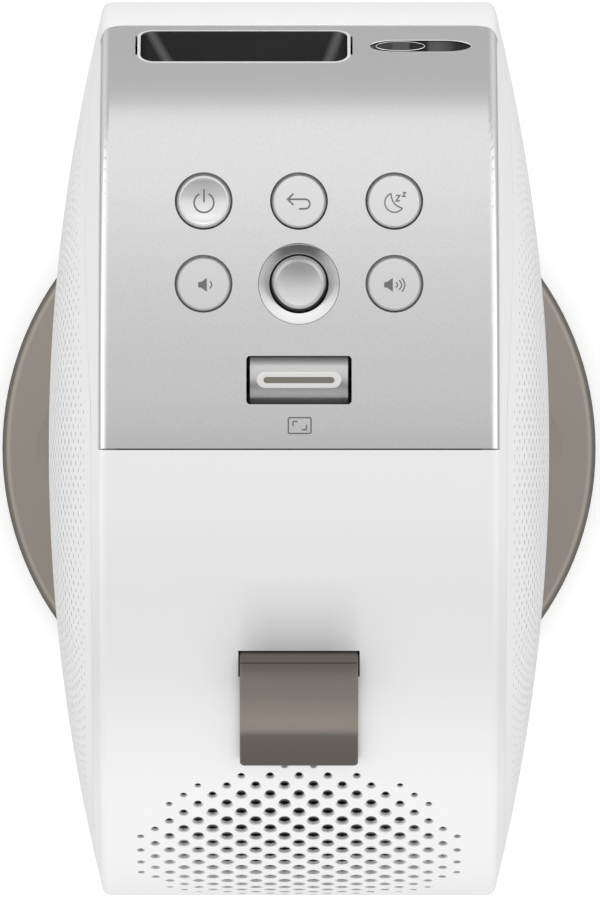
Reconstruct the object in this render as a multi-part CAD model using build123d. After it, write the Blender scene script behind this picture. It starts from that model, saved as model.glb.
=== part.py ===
"""Portable drum projector on a round magnetic base.

Millimetres.  +Z is up, the lens looks towards -Y and the drum's axis runs along X.  The origin lies on
the table, under the middle of the base.  The drum is modelled about its own axis and then lifted to
AXIS_Z.  Angles round the drum are in degrees from its top, negative towards the lens side.
"""
from build123d import *
import math
import os

# ------------------------------------------------------------------------------ driving dimensions
# Drum
DRUM_R = 92.5              # radius of the rim band
SIDE_APEX = 51.8           # half width of the drum at the middle of its domed sides
DOME_R = 378.0             # radius of each domed side
RIM_FILLET = 2.0           # rounding between rim and sides
HOUSING_WALL = 2.6
SPLIT_Z = -4.0             # joint between upper and lower housing, below the drum's axis

# Side covers: a circle flattened by a larger one towards the lens window
COVER_R = DRUM_R - 8.2
COVER_FLAT_R = 153.7
COVER_FLAT_NEAR = DRUM_R - 15.0   # least distance of the flattened stretch from the drum's axis
COVER_FLAT_ANGLE = -39.0
COVER_BLEND_R = 30.0
COVER_WALL = 2.0
COVER_GAP = 0.25
LEDGE_WIDTH = 3.0
LEDGE_WALL = 2.0

# Control panel, let into the rim
PANEL_HALF_W = 40.6
PANEL_WALL = 2.2
PANEL_GAP = 0.3
PANEL_FRONT_ANGLE = -70.0
PANEL_CORNER_R = 5.0
DECK_WALL = 2.6            # housing wall under the panel

# Round push buttons, pressed straight down
BUTTON_PITCH_X = 19.4
BUTTON_ROW_Y = (-50.4, -33.5)
BUTTON_HOLE_R = 5.9
BUTTON_CAP_R = 5.5
BUTTON_FLANGE_R = 6.3
BUTTON_FLANGE_T = 1.2
BUTTON_WALL = 1.8
BUTTON_STEM_R = 1.6
BUTTON_TRAVEL = 0.5
BUTTON_LIFT = 0.35         # play between flange and panel, and between flange and deck
SWITCH_PLAY = 0.3          # left between a pressed stem and its switch
CAP_EDGE = 0.45            # broken edge round each cap
DISH_CUT_R = 14.0          # sphere that hollows the power button
DISH_HALF_W = 5.6
DISH_R = 4.7               # the dish ends in this circle, seen from above

# Joystick
STICK_RING_R = 8.2         # outside of the dished ring
STICK_RING_FIT = 0.1
STICK_BOWL_R = 15.0        # sphere that dishes the ring
STICK_BOWL_HALF_W = 9.2
STICK_HOLE_R = 6.05
STICK_CAP_R = 5.7          # spherical skirt of the cap
STICK_PIVOT_DROP = 2.9     # pivot below the panel's surface
STICK_CAP_TOP = 2.6        # cap's rim above the pivot
STICK_ROOF = 1.45          # underside of the cap's top above the pivot
STICK_RIM = 0.6            # plain rim round the cap's dish
STICK_CAP_BOTTOM = 2.6     # cap's skirt below the pivot
STICK_CAP_WALL = 1.0
STICK_DISH_R = 18.0
STICK_EAR = (2.2, 1.3)     # width of each ear, and its reach below the pivot
STICK_PIN_R = 0.5
STICK_PIN_FIT = 0.05
STICK_HUB = 2.2            # width of the block in the middle of the cross
STICK_PLAY = 0.4           # left beside the block and beyond the pins
STICK_TINE_T = 0.8
STICK_TINE_TOP = 0.85      # above the pivot
STICK_FORK = (3.6, 1.2)    # fork's foot below the pivot, and its thickness
STICK_POST_R = 1.6

# Focus rocker: a barrel on a cross axle
ROCKER_Y = -13.9
ROCKER_WINDOW = (21.4, 9.84)
ROCKER_WINDOW_CORNER = 0.8
ROCKER_LENGTH = 19.9
ROCKER_R = 6.5
ROCKER_SINK = 1.2          # top of the barrel below the panel's surface
ROCKER_CHORD = 3.2         # barrel is cut flat this far below its axle
ROCKER_AXLE_R = 1.0
ROCKER_AXLE_FIT = 0.05
ROCKER_LEG = (8.0, 2.4, 21.0)
ROCKER_DECK_CLEAR = 2.1    # deck window is this much longer at each side than the panel's
RIB_LENGTH = 17.2
RIB_WIDTH = 3.3
RIB_HEIGHT = 0.9
RIB_SLOT_LENGTH = 14.4
RIB_SLOT_WIDTH = 1.25
RIB_SLOT_DEPTH = 0.35
RIB_EDGE = 0.3
CRADLE_WALL = 1.5
CRADLE_GAP = 0.4
CRADLE_DEPTH = 5.0

# Lens window, flat and flush with the rim
LENS_ANGLE = -63.6
LENS_X = 11.3
LENS_PLANE = DRUM_R - 0.45  # glass face from the drum's axis
LENS_GLASS = (42.5, 14.6)
LENS_OPENING_DEPTH = 14.0
LENS_GLASS_T = 2.0
LENS_CORNER_R = 2.9
BEZEL_STRIP = 0.6
BEZEL_DEPTH = 5.5
BEZEL_SLIT = 0.45

# Sensor window and the camera block behind it
SENSOR_ANGLE = -63.4
SENSOR_X = -24.9
SENSOR_LENGTH = 21.2
SENSOR_HALF_H = 2.9
SENSOR_END = 6.0           # length of each drawn-out end
SENSOR_SINK = 0.35
SENSOR_T = 1.2
SENSOR_LIP = 0.9
SENSOR_LENS = (10.1, 4.4)
SENSOR_LENS_X = 4.1        # lens, from the middle of the window
SENSOR_LENS_T = 0.25
SENSOR_BLOCK = (17.0, 5.6, 8.0)
SENSOR_BLOCK_PLAY = 0.5

# Pull tab on its pin
TAB_WIDTH = 24.1
TAB_SLOT_WIDTH = 24.7
TAB_PIN_ANGLE = 28.25
TAB_PIN_RADIUS = DRUM_R - 1.4   # pin from the drum's axis
TAB_PIN_R = 0.9
TAB_PIN_FIT = 0.05
TAB_EYE_R = 2.6
TAB_RAMP = (0.2, 20.8)     # ramp from eye to strip: its start behind the pin, its slope in degrees
TAB_LIFT = 0.35            # tab above the rim
TAB_T = 1.6
TAB_END_ANGLE = 43.4
TAB_CORNER_R = 1.2
TAB_SLOT_FRONT = 3.0       # slot's edges from the pin
TAB_SLOT_REAR = 3.1
TAB_POCKET_DEPTH = 4.4
TAB_POCKET_WALL = 2.0

# Loudspeaker grille in the rear of the rim
GRILLE_ANGLE = 64.8
GRILLE_R = 34.0            # radius of the patch, measured along the rim
GRILLE_PITCH_X = 5.9
GRILLE_PITCH_ARC = 3.0
GRILLE_HOLE_MID = 2.66
GRILLE_HOLE_EDGE = 1.4
GRILLE_HOLE_SIDES = 8
CLOTH_R = 36.5             # cloth behind the grille
CLOTH_T = 0.5

# Recessed port bay
PORT_ANGLE = 106.0
PORT_BAY = (58.0, 15.0)
PORT_FLOOR = DRUM_R - 9.5  # floor of the bay from the drum's axis
PORT_WALL = 2.0
HDMI_MOUTH = (14.0, 4.6)
USB_A_MOUTH = (12.6, 5.2)
USB_C_MOUTH = (8.4, 2.7)
SOCKET_SHELL = 0.5
SOCKET_DEPTH = 12.0
TONGUE_SHARE = (0.72, 0.3)   # tongue of a socket, as a share of its mouth
TONGUE_SHORT = 1.5
JACK_BORE_R = 1.8
JACK_BODY_R = 3.4
JACK_DEPTH = 14.0
HDMI_X = -18.5
USB_A_X = 0.0
USB_C_X = 14.5
JACK_X = 25.0
PORT_BOARD = (58.0, 1.6, 17.0)
PORT_BOARD_V = -3.6        # top face of the port board

# Base
BASE_R = 62.75
BASE_CROWN_R = 368.0
BASE_TOP_Z = 14.33
BASE_CHAMFER = 0.8
BASE_WALL = 2.4
DRUM_GAP = 0.3             # drum over the saddle
SADDLE_DEPTH = 3.93        # bottom of the drum below the base's top
AXIS_Z = BASE_TOP_Z + DRUM_R - SADDLE_DEPTH
FOOT_R = (BASE_R - 12.75, BASE_R - 6.75)
FOOT_T = 2.2
FOOT_GROOVE = 1.0
BASE_SKIRT_Z = 1.0
BOTTOM_R = BASE_R - 2.75
BOTTOM_Z = (1.2, 3.6)
BALLAST_R = BASE_R - 5.75
BALLAST_T = 1.6
MAGNET = (14.0, 22.0, 2.3)
MAGNET_X = 26.0
BASE_POST_R = 3.5
BASE_POST_PLAY = 0.5
BASE_POST_CIRCLE = BASE_R - 18.75
SCREW_R = 1.5
SCREW_HEAD_R = 2.8
SCREW_HEAD_T = 1.4
BASE_SCREW_LENGTH = 7.0

# Chassis plate and its slot ribs
PLATE_X = (-14.0, -11.5)
PLATE_R_LOW = DRUM_R - 5.1
PLATE_R_HIGH = DRUM_R - 8.5
RIB_T = 2.0
RIB_INNER_R = DRUM_R - 7.1
RIB_END_ANGLE = 120.0
PLATE_PLAY = 1.0           # left round what passes the plate
PLATE_HOLE_R = 15.0
PLATE_HOLE_DISTANCE = DRUM_R - 28.5
PLATE_HOLE_ANGLES = (-124.6, 140.6, 14.9)

# Light engine, in the lens's own directions
ENGINE_T = (2.0, DRUM_R - 44.5)
ENGINE_U = (-20.0, 24.0)
ENGINE_X = 34.0
ENGINE_EDGE = 3.0
ENGINE_GROOVES = 4
ENGINE_GROOVE = (4.0, 2.0)  # width and depth
BARREL_R = 14.5
BARREL_REAR_R = 16.0
BARREL_FRONT_R = 17.0
BARREL_FRONT_T = DRUM_R - 8.5
BARREL_BORE_R = 12.5
BARREL_BORE_START = 4.0    # beyond the seat of the focus ring
FRONT_LENS_T = 4.0
FRONT_LENS_R = 30.0
FOCUS_MODULE = 1.0
FOCUS_TEETH = 36
PINION_TEETH = 12
GEAR_T = (DRUM_R - 35.5, DRUM_R - 29.5)
GEAR_AXIAL_GAP = 0.4
GEAR_BACKLASH = 0.12       # taken off each tooth's half width
FOCUS_FIT = 0.08
PRESSURE_ANGLE = 20.0
PINION_ANGLE = -30.0       # pinion round the lens axis, from +X
MOTOR_R = 5.0
MOTOR_LENGTH = 8.0
MOTOR_SHAFT_R = 1.0
PINION_FIT = 0.05

# Other inner pieces
BOARD_T = 1.6
BUTTON_BOARD_Z = DRUM_R - 34.5   # underside, above the drum's axis
BUTTON_BOARD = (60.0, 54.5)
BUTTON_BOARD_Y = -30.75
SWITCH = (6.0, 6.0, 3.2)
ROCKER_SWITCH = (6.0, 2.8, 6.0)
ROCKER_SWITCH_Y = 7.6
MAIN_BOARD = (74.0, 80.0)
MAIN_BOARD_YZ = (-27.0, 10.0)
STANDOFF_LENGTH = 8.0
STANDOFF_R = 2.5
STANDOFF_INSET = 5.0
CHIP_BLOCKS = ((-8.0, 12.0, 24.0, 24.0, 6.0), (22.0, -14.0, 16.0, 20.0, 3.0), (-22.0, -22.0, 14.0, 10.0, 2.0))
BATTERY = (37.6, 66.0, 37.2)
BATTERY_YZ = (-7.0, 39.9 - DRUM_R)
BATTERY_EDGE = 9.0
SINK = (31.5, 46.0, 46.0)
SINK_FINS = 9
SINK_FIN_T = 1.6
SINK_BASE_T = 4.0
FAN_YZ = (32.0, -8.0)
FAN_SIZE = 50.0
FAN_T = 10.0
FAN_BORE_R = 23.0
FAN_BLADE_R = 22.0
FAN_HUB_R = 9.0
FAN_BLADES = 7
FAN_BLADE_T = 1.2
FAN_BLADE_CHORD = 9.0
FAN_BLADE_PITCH = 35.0
FAN_SHAFT_R = 1.5
FAN_SHAFT_FIT = 0.05
FAN_SPOKE_T = 2.2
FAN_GAP = 0.5
FAN_CORNER_R = 3.0
FAN_SPOKE_W = 3.0
WOOFER_FRAME_R = 31.0
WOOFER_FRAME_D = DRUM_R - 9.5
WOOFER_FRAME_T = 2.4
WOOFER_CONE_R = 26.0
WOOFER_DISH = (6.0, 24.0, 8.0)   # least and largest radius of the hollow cone, and its depth
WOOFER_MAGNET_R = 18.0
WOOFER_BACK_D = WOOFER_FRAME_D - 23.0
WOOFER_MAGNET_T = 9.0
TWEETER_R = 21.0
TWEETER_FRAME_T = 2.0
TWEETER_MAGNET_R = 12.0
TWEETER_CONE_R = 19.0
TWEETER_DISH = (4.0, 17.0, 4.0)
TWEETER_RIGHT = (28.0, -30.0, 26.0)
TWEETER_LEFT = (-12.0, -50.0, 12.0)
KEEPER_X = (20.0, 32.0)
KEEPER_T = 1.2
KEEPER_ANGLES = (113.0, 236.0)
BOSS_R = 3.2
BOSS_LENGTH = 14.0
BOSS_Y = DRUM_R - 4.9
BOSS_X = 35.5

FAR = 400.0                # longer than anything in the model
OVER = 1.0                 # how far a cut runs past the face that it opens


# --------------------------------------------------------------------------------- shared geometry
def dome_x(radius, inset=0.0):
    """Half width of the drum, taken in by inset, at a distance from its axis."""
    ball = DOME_R - inset
    return SIDE_APEX - inset - ball + math.sqrt(ball**2 - radius**2)


def drum_form(inset):
    """The drum's outer form taken in evenly by inset, as one solid turned about X."""
    radius = DRUM_R - inset
    apex = (SIDE_APEX - inset, 0)
    shoulder = (dome_x(radius / 2, inset), radius / 2)
    edge = (dome_x(radius, inset), radius)

    def mirrored(point):
        return (-point[0], point[1])

    outline = [
        ThreePointArc(apex, shoulder, edge),
        Line(edge, mirrored(edge)),
        ThreePointArc(mirrored(edge), mirrored(shoulder), mirrored(apex)),
        Line(mirrored(apex), apex),
    ]
    face = make_face(Curve() + outline)
    corners = face.vertices().group_by(Axis.Y)[-1]
    face = fillet(corners, max(RIM_FILLET - inset, 0.5))
    return revolve(face, Axis.X)


def rim_cylinder(radius, length=FAR):
    """A cylinder about the drum's axis."""
    return Rot(0, 90, 0) * Cylinder(radius, length)


def rim_plane(angle, x=0.0, distance=0.0):
    """A plane facing out of the drum at an angle; its y runs round the rim, towards the rear."""
    turn = math.radians(angle)
    out = (0, math.sin(turn), math.cos(turn))
    return Plane(origin=(x, distance * out[1], distance * out[2]), x_dir=(1, 0, 0), z_dir=out)


def rim_height(y, radius=DRUM_R):
    """Height over the drum's axis of a circle about it."""
    return math.sqrt(radius**2 - y**2)


def rising(x, y, shape, z=0.0):
    """A shape set on the vertical through (x, y), with its own bottom at z."""
    return Pos(x, y, z) * shape


def post(radius, bottom, top):
    """An upright cylinder between two heights."""
    return Pos(0, 0, bottom) * Cylinder(radius, top - bottom, align=(Align.CENTER, Align.CENTER, Align.MIN))


def slab(x, y, z):
    """A box between two values along each axis."""
    size = [abs(pair[1] - pair[0]) for pair in (x, y, z)]
    centre = [(pair[1] + pair[0]) / 2 for pair in (x, y, z)]
    return Pos(*centre) * Box(*size)


def wedge(start, end, inner, outer, half_width):
    """A stretch of a ring about the drum's axis between two angles."""
    face = Pos(0, (inner + outer) / 2) * Rectangle(2 * half_width, outer - inner)
    body = revolve(face, Axis.X, revolution_arc=end - start)
    return Rot(90 - end, 0, 0) * body


def cover_outline(margin):
    """Outline of a side cover in the YZ plane, grown by margin."""
    turn = math.radians(COVER_FLAT_ANGLE)
    back = COVER_FLAT_R - COVER_FLAT_NEAR
    flat_centre = (-back * math.sin(turn), -back * math.cos(turn))
    facing = Rot(0, 0, 90 - COVER_FLAT_ANGLE)
    outline = (facing * Circle(COVER_R + margin)) & (Pos(*flat_centre) * Circle(COVER_FLAT_R + margin))
    return fillet(outline.vertices(), COVER_BLEND_R)


def cover_prism(side, margin):
    """Everything outboard of the rim band's inner half within a cover's outline."""
    start = dome_x(COVER_R) / 2
    prism = extrude(Plane.YZ * cover_outline(margin), SIDE_APEX)
    return Pos(start, 0, 0) * prism if side > 0 else Pos(-start - SIDE_APEX, 0, 0) * prism


def panel_prism(margin):
    """The control panel's outline, rounded at the front, cut square at the top of the drum."""
    plane = rim_plane(PANEL_FRONT_ANGLE)
    front = -margin
    length = 2 * DRUM_R
    sheet = RectangleRounded(2 * (PANEL_HALF_W + margin), length, PANEL_CORNER_R + margin)
    prism = plane * extrude(Pos(0, front + length / 2) * sheet, DRUM_R + 5)
    return prism & slab((-FAR, FAR), (-FAR, margin), (-FAR, FAR))


def stadium(length, width):
    """A stadium outline."""
    return SlotOverall(length, width)


def long_oval(length, half_height, end):
    """A straight band whose two ends are half ellipses longer than they are high."""
    middle = length - 2 * end
    oval = Rectangle(middle, 2 * half_height)
    for side in (-1, 1):
        oval += Pos(side * middle / 2, 0) * Ellipse(end, half_height)
    return oval


def on_axis(shape):
    """Lift a drum piece to the drum's axis."""
    return Pos(0, 0, AXIS_Z) * shape


# ----------------------------------------------------------------------------------- drum housing
def button_places():
    """Middle of each button: name, x and y."""
    front, rear = BUTTON_ROW_Y
    return (
        ("power_button", BUTTON_PITCH_X, front),
        ("return_button", 0.0, front),
        ("sleep_button", -BUTTON_PITCH_X, front),
        ("volume_down_button", BUTTON_PITCH_X, rear),
        ("volume_up_button", -BUTTON_PITCH_X, rear),
    )


def lens_opening(grow_x, grow_u):
    """Prism through the rim for the lens window, grown on each side."""
    width = LENS_GLASS[0] + 2 * grow_x
    height = LENS_GLASS[1] + 2 * grow_u
    face = RectangleRounded(width, height, LENS_CORNER_R + min(grow_x, grow_u))
    start = LENS_PLANE - LENS_OPENING_DEPTH
    return rim_plane(LENS_ANGLE, LENS_X, start) * extrude(face, 2 * LENS_OPENING_DEPTH)


def grille_holes():
    """Staggered holes, largest in the middle of the patch, as prisms through the rim."""
    holes = []
    rows = int(GRILLE_R / GRILLE_PITCH_ARC)
    columns = int(GRILLE_R / GRILLE_PITCH_X) + 1
    for row in range(-rows, rows + 1):
        arc = row * GRILLE_PITCH_ARC
        shift = GRILLE_PITCH_X / 2 * (row % 2)
        for column in range(-columns, columns + 1):
            x = column * GRILLE_PITCH_X + shift
            reach = math.hypot(arc, x) / GRILLE_R
            if reach > 1:
                continue
            size = GRILLE_HOLE_MID + (GRILLE_HOLE_EDGE - GRILLE_HOLE_MID) * reach**2
            angle = GRILLE_ANGLE + math.degrees(arc / DRUM_R)
            plane = rim_plane(angle, x, DRUM_R - HOUSING_WALL - OVER)
            hole = extrude(RegularPolygon(size / 2, GRILLE_HOLE_SIDES), HOUSING_WALL + 2 * OVER)
            holes.append(plane * hole)
    return holes


def grille_cloth():
    """Thin cloth on the inside of the rim, behind the grille."""
    outer = DRUM_R - HOUSING_WALL
    layer = rim_cylinder(outer) - rim_cylinder(outer - CLOTH_T)
    return layer & (rim_plane(GRILLE_ANGLE) * post(CLOTH_R, 0, DRUM_R))


def tab_slot():
    """Slot for the pull tab's eye, cut square to the rim at the pin."""
    plane = rim_plane(TAB_PIN_ANGLE, 0, DRUM_R - TAB_POCKET_DEPTH)
    middle = (TAB_SLOT_REAR - TAB_SLOT_FRONT) / 2
    face = Pos(0, middle) * Rectangle(TAB_SLOT_WIDTH, TAB_SLOT_FRONT + TAB_SLOT_REAR)
    return plane * extrude(face, TAB_POCKET_DEPTH + OVER)


def tab_pocket():
    """Block behind the rim that closes the slot and carries the pin."""
    depth = TAB_POCKET_DEPTH + TAB_POCKET_WALL
    plane = rim_plane(TAB_PIN_ANGLE, 0, DRUM_R - depth)
    width = TAB_SLOT_WIDTH + 2 * TAB_POCKET_WALL + OVER
    height = TAB_SLOT_FRONT + TAB_SLOT_REAR + 2 * TAB_POCKET_WALL
    return plane * extrude(Rectangle(width, height), depth - OVER)


def tab_pin_line(radius, length):
    """Cylinder along the pull tab's pin."""
    place = rim_plane(TAB_PIN_ANGLE, 0, TAB_PIN_RADIUS)
    return Pos(*place.origin) * rim_cylinder(radius, length)


def barrel():
    """The whole drum housing before it is split: band, shoulders, cover ledges and panel deck."""
    shell = drum_form(0) - drum_form(HOUSING_WALL)
    deck_zone = panel_prism(4.0)
    shell += (drum_form(HOUSING_WALL / 2) - drum_form(PANEL_WALL + DECK_WALL)) & deck_zone
    for side in (-1, 1):
        ring = cover_prism(side, LEDGE_WIDTH) - cover_prism(side, -LEDGE_WIDTH)
        shell += (drum_form(COVER_WALL) - drum_form(COVER_WALL + LEDGE_WALL)) & ring
    for side in (-1, 1):
        shell -= cover_prism(side, COVER_GAP) - drum_form(COVER_WALL)
        shell -= cover_prism(side, -LEDGE_WIDTH)
    shell -= panel_prism(PANEL_GAP) - rim_cylinder(DRUM_R - PANEL_WALL)
    return shell


def deck_cuts():
    """Clearance for the controls through the wall under the panel."""
    cuts = []
    for _, x, y in button_places():
        cuts.append(rising(x, y, post(BUTTON_FLANGE_R + BUTTON_LIFT, BUTTON_BOARD_Z, DRUM_R)))
    cuts.append(rising(0, BUTTON_ROW_Y[1], post(STICK_RING_R + STICK_RING_FIT, BUTTON_BOARD_Z, DRUM_R)))
    window = (ROCKER_WINDOW[0] + 2 * (CRADLE_WALL + CRADLE_GAP), ROCKER_WINDOW[1] + 2 * ROCKER_DECK_CLEAR)
    opening = extrude(Rectangle(*window), DRUM_R - BUTTON_BOARD_Z)
    cuts.append(rising(0, ROCKER_Y, opening, BUTTON_BOARD_Z))
    cuts.append(lens_opening(BEZEL_STRIP + BEZEL_SLIT, BEZEL_STRIP + BEZEL_SLIT))
    width, height, depth = SENSOR_BLOCK
    block = Rectangle(width + 2 * SENSOR_BLOCK_PLAY, height + 2 * SENSOR_BLOCK_PLAY)
    cuts.append(sensor_plane(DRUM_R - 2 * depth) * extrude(block, 2 * depth))
    return cuts


def bosses(sign):
    """Screw bosses inside the band at the joint between the halves."""
    ends = sorted((SPLIT_Z, SPLIT_Z + sign * BOSS_LENGTH))
    places = [(x, y) for x in (-BOSS_X, BOSS_X) for y in (-BOSS_Y, BOSS_Y)]
    return [rising(x, y, post(BOSS_R, *ends)) & drum_form(HOUSING_WALL / 2) for x, y in places]


def upper_housing(shell):
    """Upper half: shoulders, panel deck, pull tab pocket and the loudspeaker grille."""
    half = shell & slab((-FAR, FAR), (-FAR, FAR), (SPLIT_Z, FAR))
    half -= deck_cuts()
    half += tab_pocket() & drum_form(HOUSING_WALL / 2)
    half -= tab_slot()
    half -= tab_pin_line(TAB_PIN_R, TAB_SLOT_WIDTH + 2 * TAB_POCKET_WALL)
    half -= grille_holes()
    half += bosses(1)
    return half


def port_box(x_half, v_half, start, end):
    """A box in the port bay's own directions."""
    return rim_plane(PORT_ANGLE, 0, start) * extrude(Rectangle(2 * x_half, 2 * v_half), end - start)


def port_tray_solid():
    """Outside of the port bay's tray."""
    x_half = PORT_BAY[0] / 2 + PORT_WALL
    v_half = PORT_BAY[1] / 2 + PORT_WALL
    return port_box(x_half, v_half, PORT_FLOOR - PORT_WALL, DRUM_R) & rim_cylinder(DRUM_R - HOUSING_WALL)


def port_bay_cut(length=20.0):
    """The open bay, from its floor outwards."""
    return port_box(PORT_BAY[0] / 2, PORT_BAY[1] / 2, PORT_FLOOR, PORT_FLOOR + length)


def lower_housing(shell):
    """Lower half: plain band, opening of the port bay and the ribs that hold the chassis plate."""
    half = shell & slab((-FAR, FAR), (-FAR, FAR), (-FAR, SPLIT_Z))
    outer = DRUM_R - HOUSING_WALL / 2
    for start in (PLATE_X[0] - RIB_T, PLATE_X[1]):
        ring = wedge(RIB_END_ANGLE, 360 - RIB_END_ANGLE, RIB_INNER_R, outer, RIB_T / 2)
        half += Pos(start + RIB_T / 2, 0, 0) * ring
    half -= port_bay_cut()
    half += bosses(-1)
    return half


def side_cover(side):
    """Domed cover, let into the shoulder."""
    return cover_prism(side, 0) & (drum_form(0) - drum_form(COVER_WALL))


def control_panel():
    """Metallic panel over the top and front of the rim, with the openings for the controls."""
    panel = (panel_prism(0) & drum_form(0)) - rim_cylinder(DRUM_R - PANEL_WALL)
    for _, x, y in button_places():
        panel -= rising(x, y, post(BUTTON_HOLE_R, BUTTON_BOARD_Z, DRUM_R + OVER))
    ring_hole = post(STICK_RING_R + STICK_RING_FIT, BUTTON_BOARD_Z, DRUM_R + OVER)
    panel -= rising(0, BUTTON_ROW_Y[1], ring_hole)
    window = RectangleRounded(*ROCKER_WINDOW, ROCKER_WINDOW_CORNER)
    panel -= rising(0, ROCKER_Y, extrude(window, DRUM_R - BUTTON_BOARD_Z), BUTTON_BOARD_Z)
    panel -= lens_opening(BEZEL_STRIP, BEZEL_STRIP)
    slit = Rectangle(LENS_GLASS[0] + 2 * (BEZEL_STRIP + BEZEL_SLIT), LENS_GLASS[1] - 2 * LENS_CORNER_R)
    start = LENS_PLANE - LENS_OPENING_DEPTH
    panel -= rim_plane(LENS_ANGLE, LENS_X, start) * extrude(slit, 2 * LENS_OPENING_DEPTH)
    seat = sensor_plane(DRUM_R - SENSOR_SINK - SENSOR_T)
    recess = long_oval(SENSOR_LENGTH, SENSOR_HALF_H, SENSOR_END)
    panel -= seat * extrude(recess, SENSOR_T + SENSOR_SINK + OVER)
    hole = long_oval(SENSOR_LENGTH - 2 * SENSOR_LIP, SENSOR_HALF_H - SENSOR_LIP, SENSOR_END - SENSOR_LIP)
    panel -= seat * Pos(0, 0, -PANEL_WALL) * extrude(hole, PANEL_WALL + OVER)
    return panel


# --------------------------------------------------------------------------------------- controls
def switch_top():
    """Top of the push switches on the button board."""
    return BUTTON_BOARD_Z + BOARD_T + SWITCH[2]


def dish_cut(x, y, ball_r, half_width):
    """Sphere that cuts a shallow dish into the rim's surface at (x, y)."""
    angle = math.degrees(math.asin(y / DRUM_R))
    distance = DRUM_R + math.sqrt(ball_r**2 - half_width**2)
    return Pos(*rim_plane(angle, x, distance).origin) * Sphere(ball_r)


def button_cap(x, y, dished):
    """A cap flush with the rim, hollow below, with a flange behind the panel and a stem."""
    flange_top = rim_height(abs(y) + BUTTON_FLANGE_R, DRUM_R - PANEL_WALL) - BUTTON_LIFT
    flange_bottom = flange_top - BUTTON_FLANGE_T
    body = rising(x, y, post(BUTTON_CAP_R, flange_bottom, DRUM_R)) & rim_cylinder(DRUM_R)
    rim_edge = body.edges().group_by(Axis.Z)[-1]
    body = chamfer(rim_edge, CAP_EDGE)
    if dished:
        body -= dish_cut(x, y, DISH_CUT_R, DISH_HALF_W) & rising(x, y, post(DISH_R, flange_top, DRUM_R))
    hollow_top = rim_height(abs(y) + BUTTON_CAP_R) - BUTTON_WALL
    body += rising(x, y, post(BUTTON_FLANGE_R, flange_bottom, flange_top))
    body -= rising(x, y, post(BUTTON_CAP_R - BUTTON_WALL, flange_bottom - OVER, hollow_top))
    stem_bottom = switch_top() + BUTTON_TRAVEL + SWITCH_PLAY
    return body + rising(x, y, post(BUTTON_STEM_R, stem_bottom, hollow_top + BUTTON_WALL / 2))


def stick_pivot():
    """Centre of the joystick's two hinges."""
    y = BUTTON_ROW_Y[1]
    return (0.0, y, rim_height(y) - STICK_PIVOT_DROP)


def joystick_ring():
    """Dished ring round the joystick, standing on the button board."""
    y = BUTTON_ROW_Y[1]
    ring = rising(0, y, post(STICK_RING_R, BUTTON_BOARD_Z + BOARD_T, DRUM_R)) & rim_cylinder(DRUM_R)
    ring -= dish_cut(0, y, STICK_BOWL_R, STICK_BOWL_HALF_W)
    return ring - rising(0, y, post(STICK_HOLE_R, BUTTON_BOARD_Z, DRUM_R))


def joystick_cap():
    """Cap with a spherical skirt, two ears inside and a dished top."""
    skirt = Sphere(STICK_CAP_R) & post(STICK_CAP_R, -STICK_CAP_BOTTOM, STICK_CAP_TOP)
    inner = STICK_CAP_R - STICK_CAP_WALL
    skirt -= Sphere(inner) & post(inner, -inner, STICK_ROOF)
    rim_r = math.sqrt(STICK_CAP_R**2 - STICK_CAP_TOP**2) - STICK_RIM
    ball_z = STICK_CAP_TOP + math.sqrt(STICK_DISH_R**2 - rim_r**2)
    ear_out = inner + STICK_CAP_WALL / 2
    ear_in = STICK_HUB / 2 + 2 * STICK_PLAY
    ear_width, ear_drop = STICK_EAR
    for side in (-1, 1):
        across = (side * ear_in, side * ear_out)
        ear = slab((-ear_width / 2, ear_width / 2), across, (-ear_drop, STICK_ROOF + STICK_PLAY))
        skirt += ear & Sphere(ear_out)
    skirt -= Rot(90, 0, 0) * Cylinder(STICK_PIN_R + STICK_PIN_FIT, 2 * inner)
    skirt -= Pos(0, 0, ball_z) * Sphere(STICK_DISH_R)
    return Pos(*stick_pivot()) * skirt


def joystick_cross():
    """Cross with a pin each way: along X in the post, along Y in the cap."""
    reach_cap = STICK_CAP_R - STICK_CAP_WALL - STICK_PLAY
    reach_post = STICK_HUB / 2 + 2 * STICK_PLAY + STICK_TINE_T
    cross = Box(STICK_HUB, STICK_HUB, 4 * STICK_PLAY)
    cross += Rot(0, 90, 0) * Cylinder(STICK_PIN_R, 2 * reach_post)
    cross += Rot(90, 0, 0) * Cylinder(STICK_PIN_R, 2 * reach_cap)
    return Pos(*stick_pivot()) * cross


def joystick_post():
    """Forked post that carries the cross and is pressed down into the switch."""
    tine_in = STICK_HUB / 2 + STICK_PLAY
    tine_out = tine_in + STICK_TINE_T
    pivot = stick_pivot()
    foot = switch_top() + BUTTON_TRAVEL + SWITCH_PLAY
    drop, thickness = STICK_FORK
    depth = (-STICK_HUB / 2, STICK_HUB / 2)
    fork = slab((-tine_out, tine_out), depth, (-drop, thickness - drop))
    for side in (-1, 1):
        fork += slab((side * tine_in, side * tine_out), depth, (-drop, STICK_TINE_TOP))
    fork -= rim_cylinder(STICK_PIN_R + STICK_PIN_FIT, 2 * tine_out + OVER)
    return Pos(*pivot) * (fork + post(STICK_POST_R, foot - pivot[2], thickness / 2 - drop))


def rocker_axis_z():
    """Height of the rocker's axle over the drum's axis."""
    return rim_height(ROCKER_Y) - ROCKER_SINK - ROCKER_R


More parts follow.
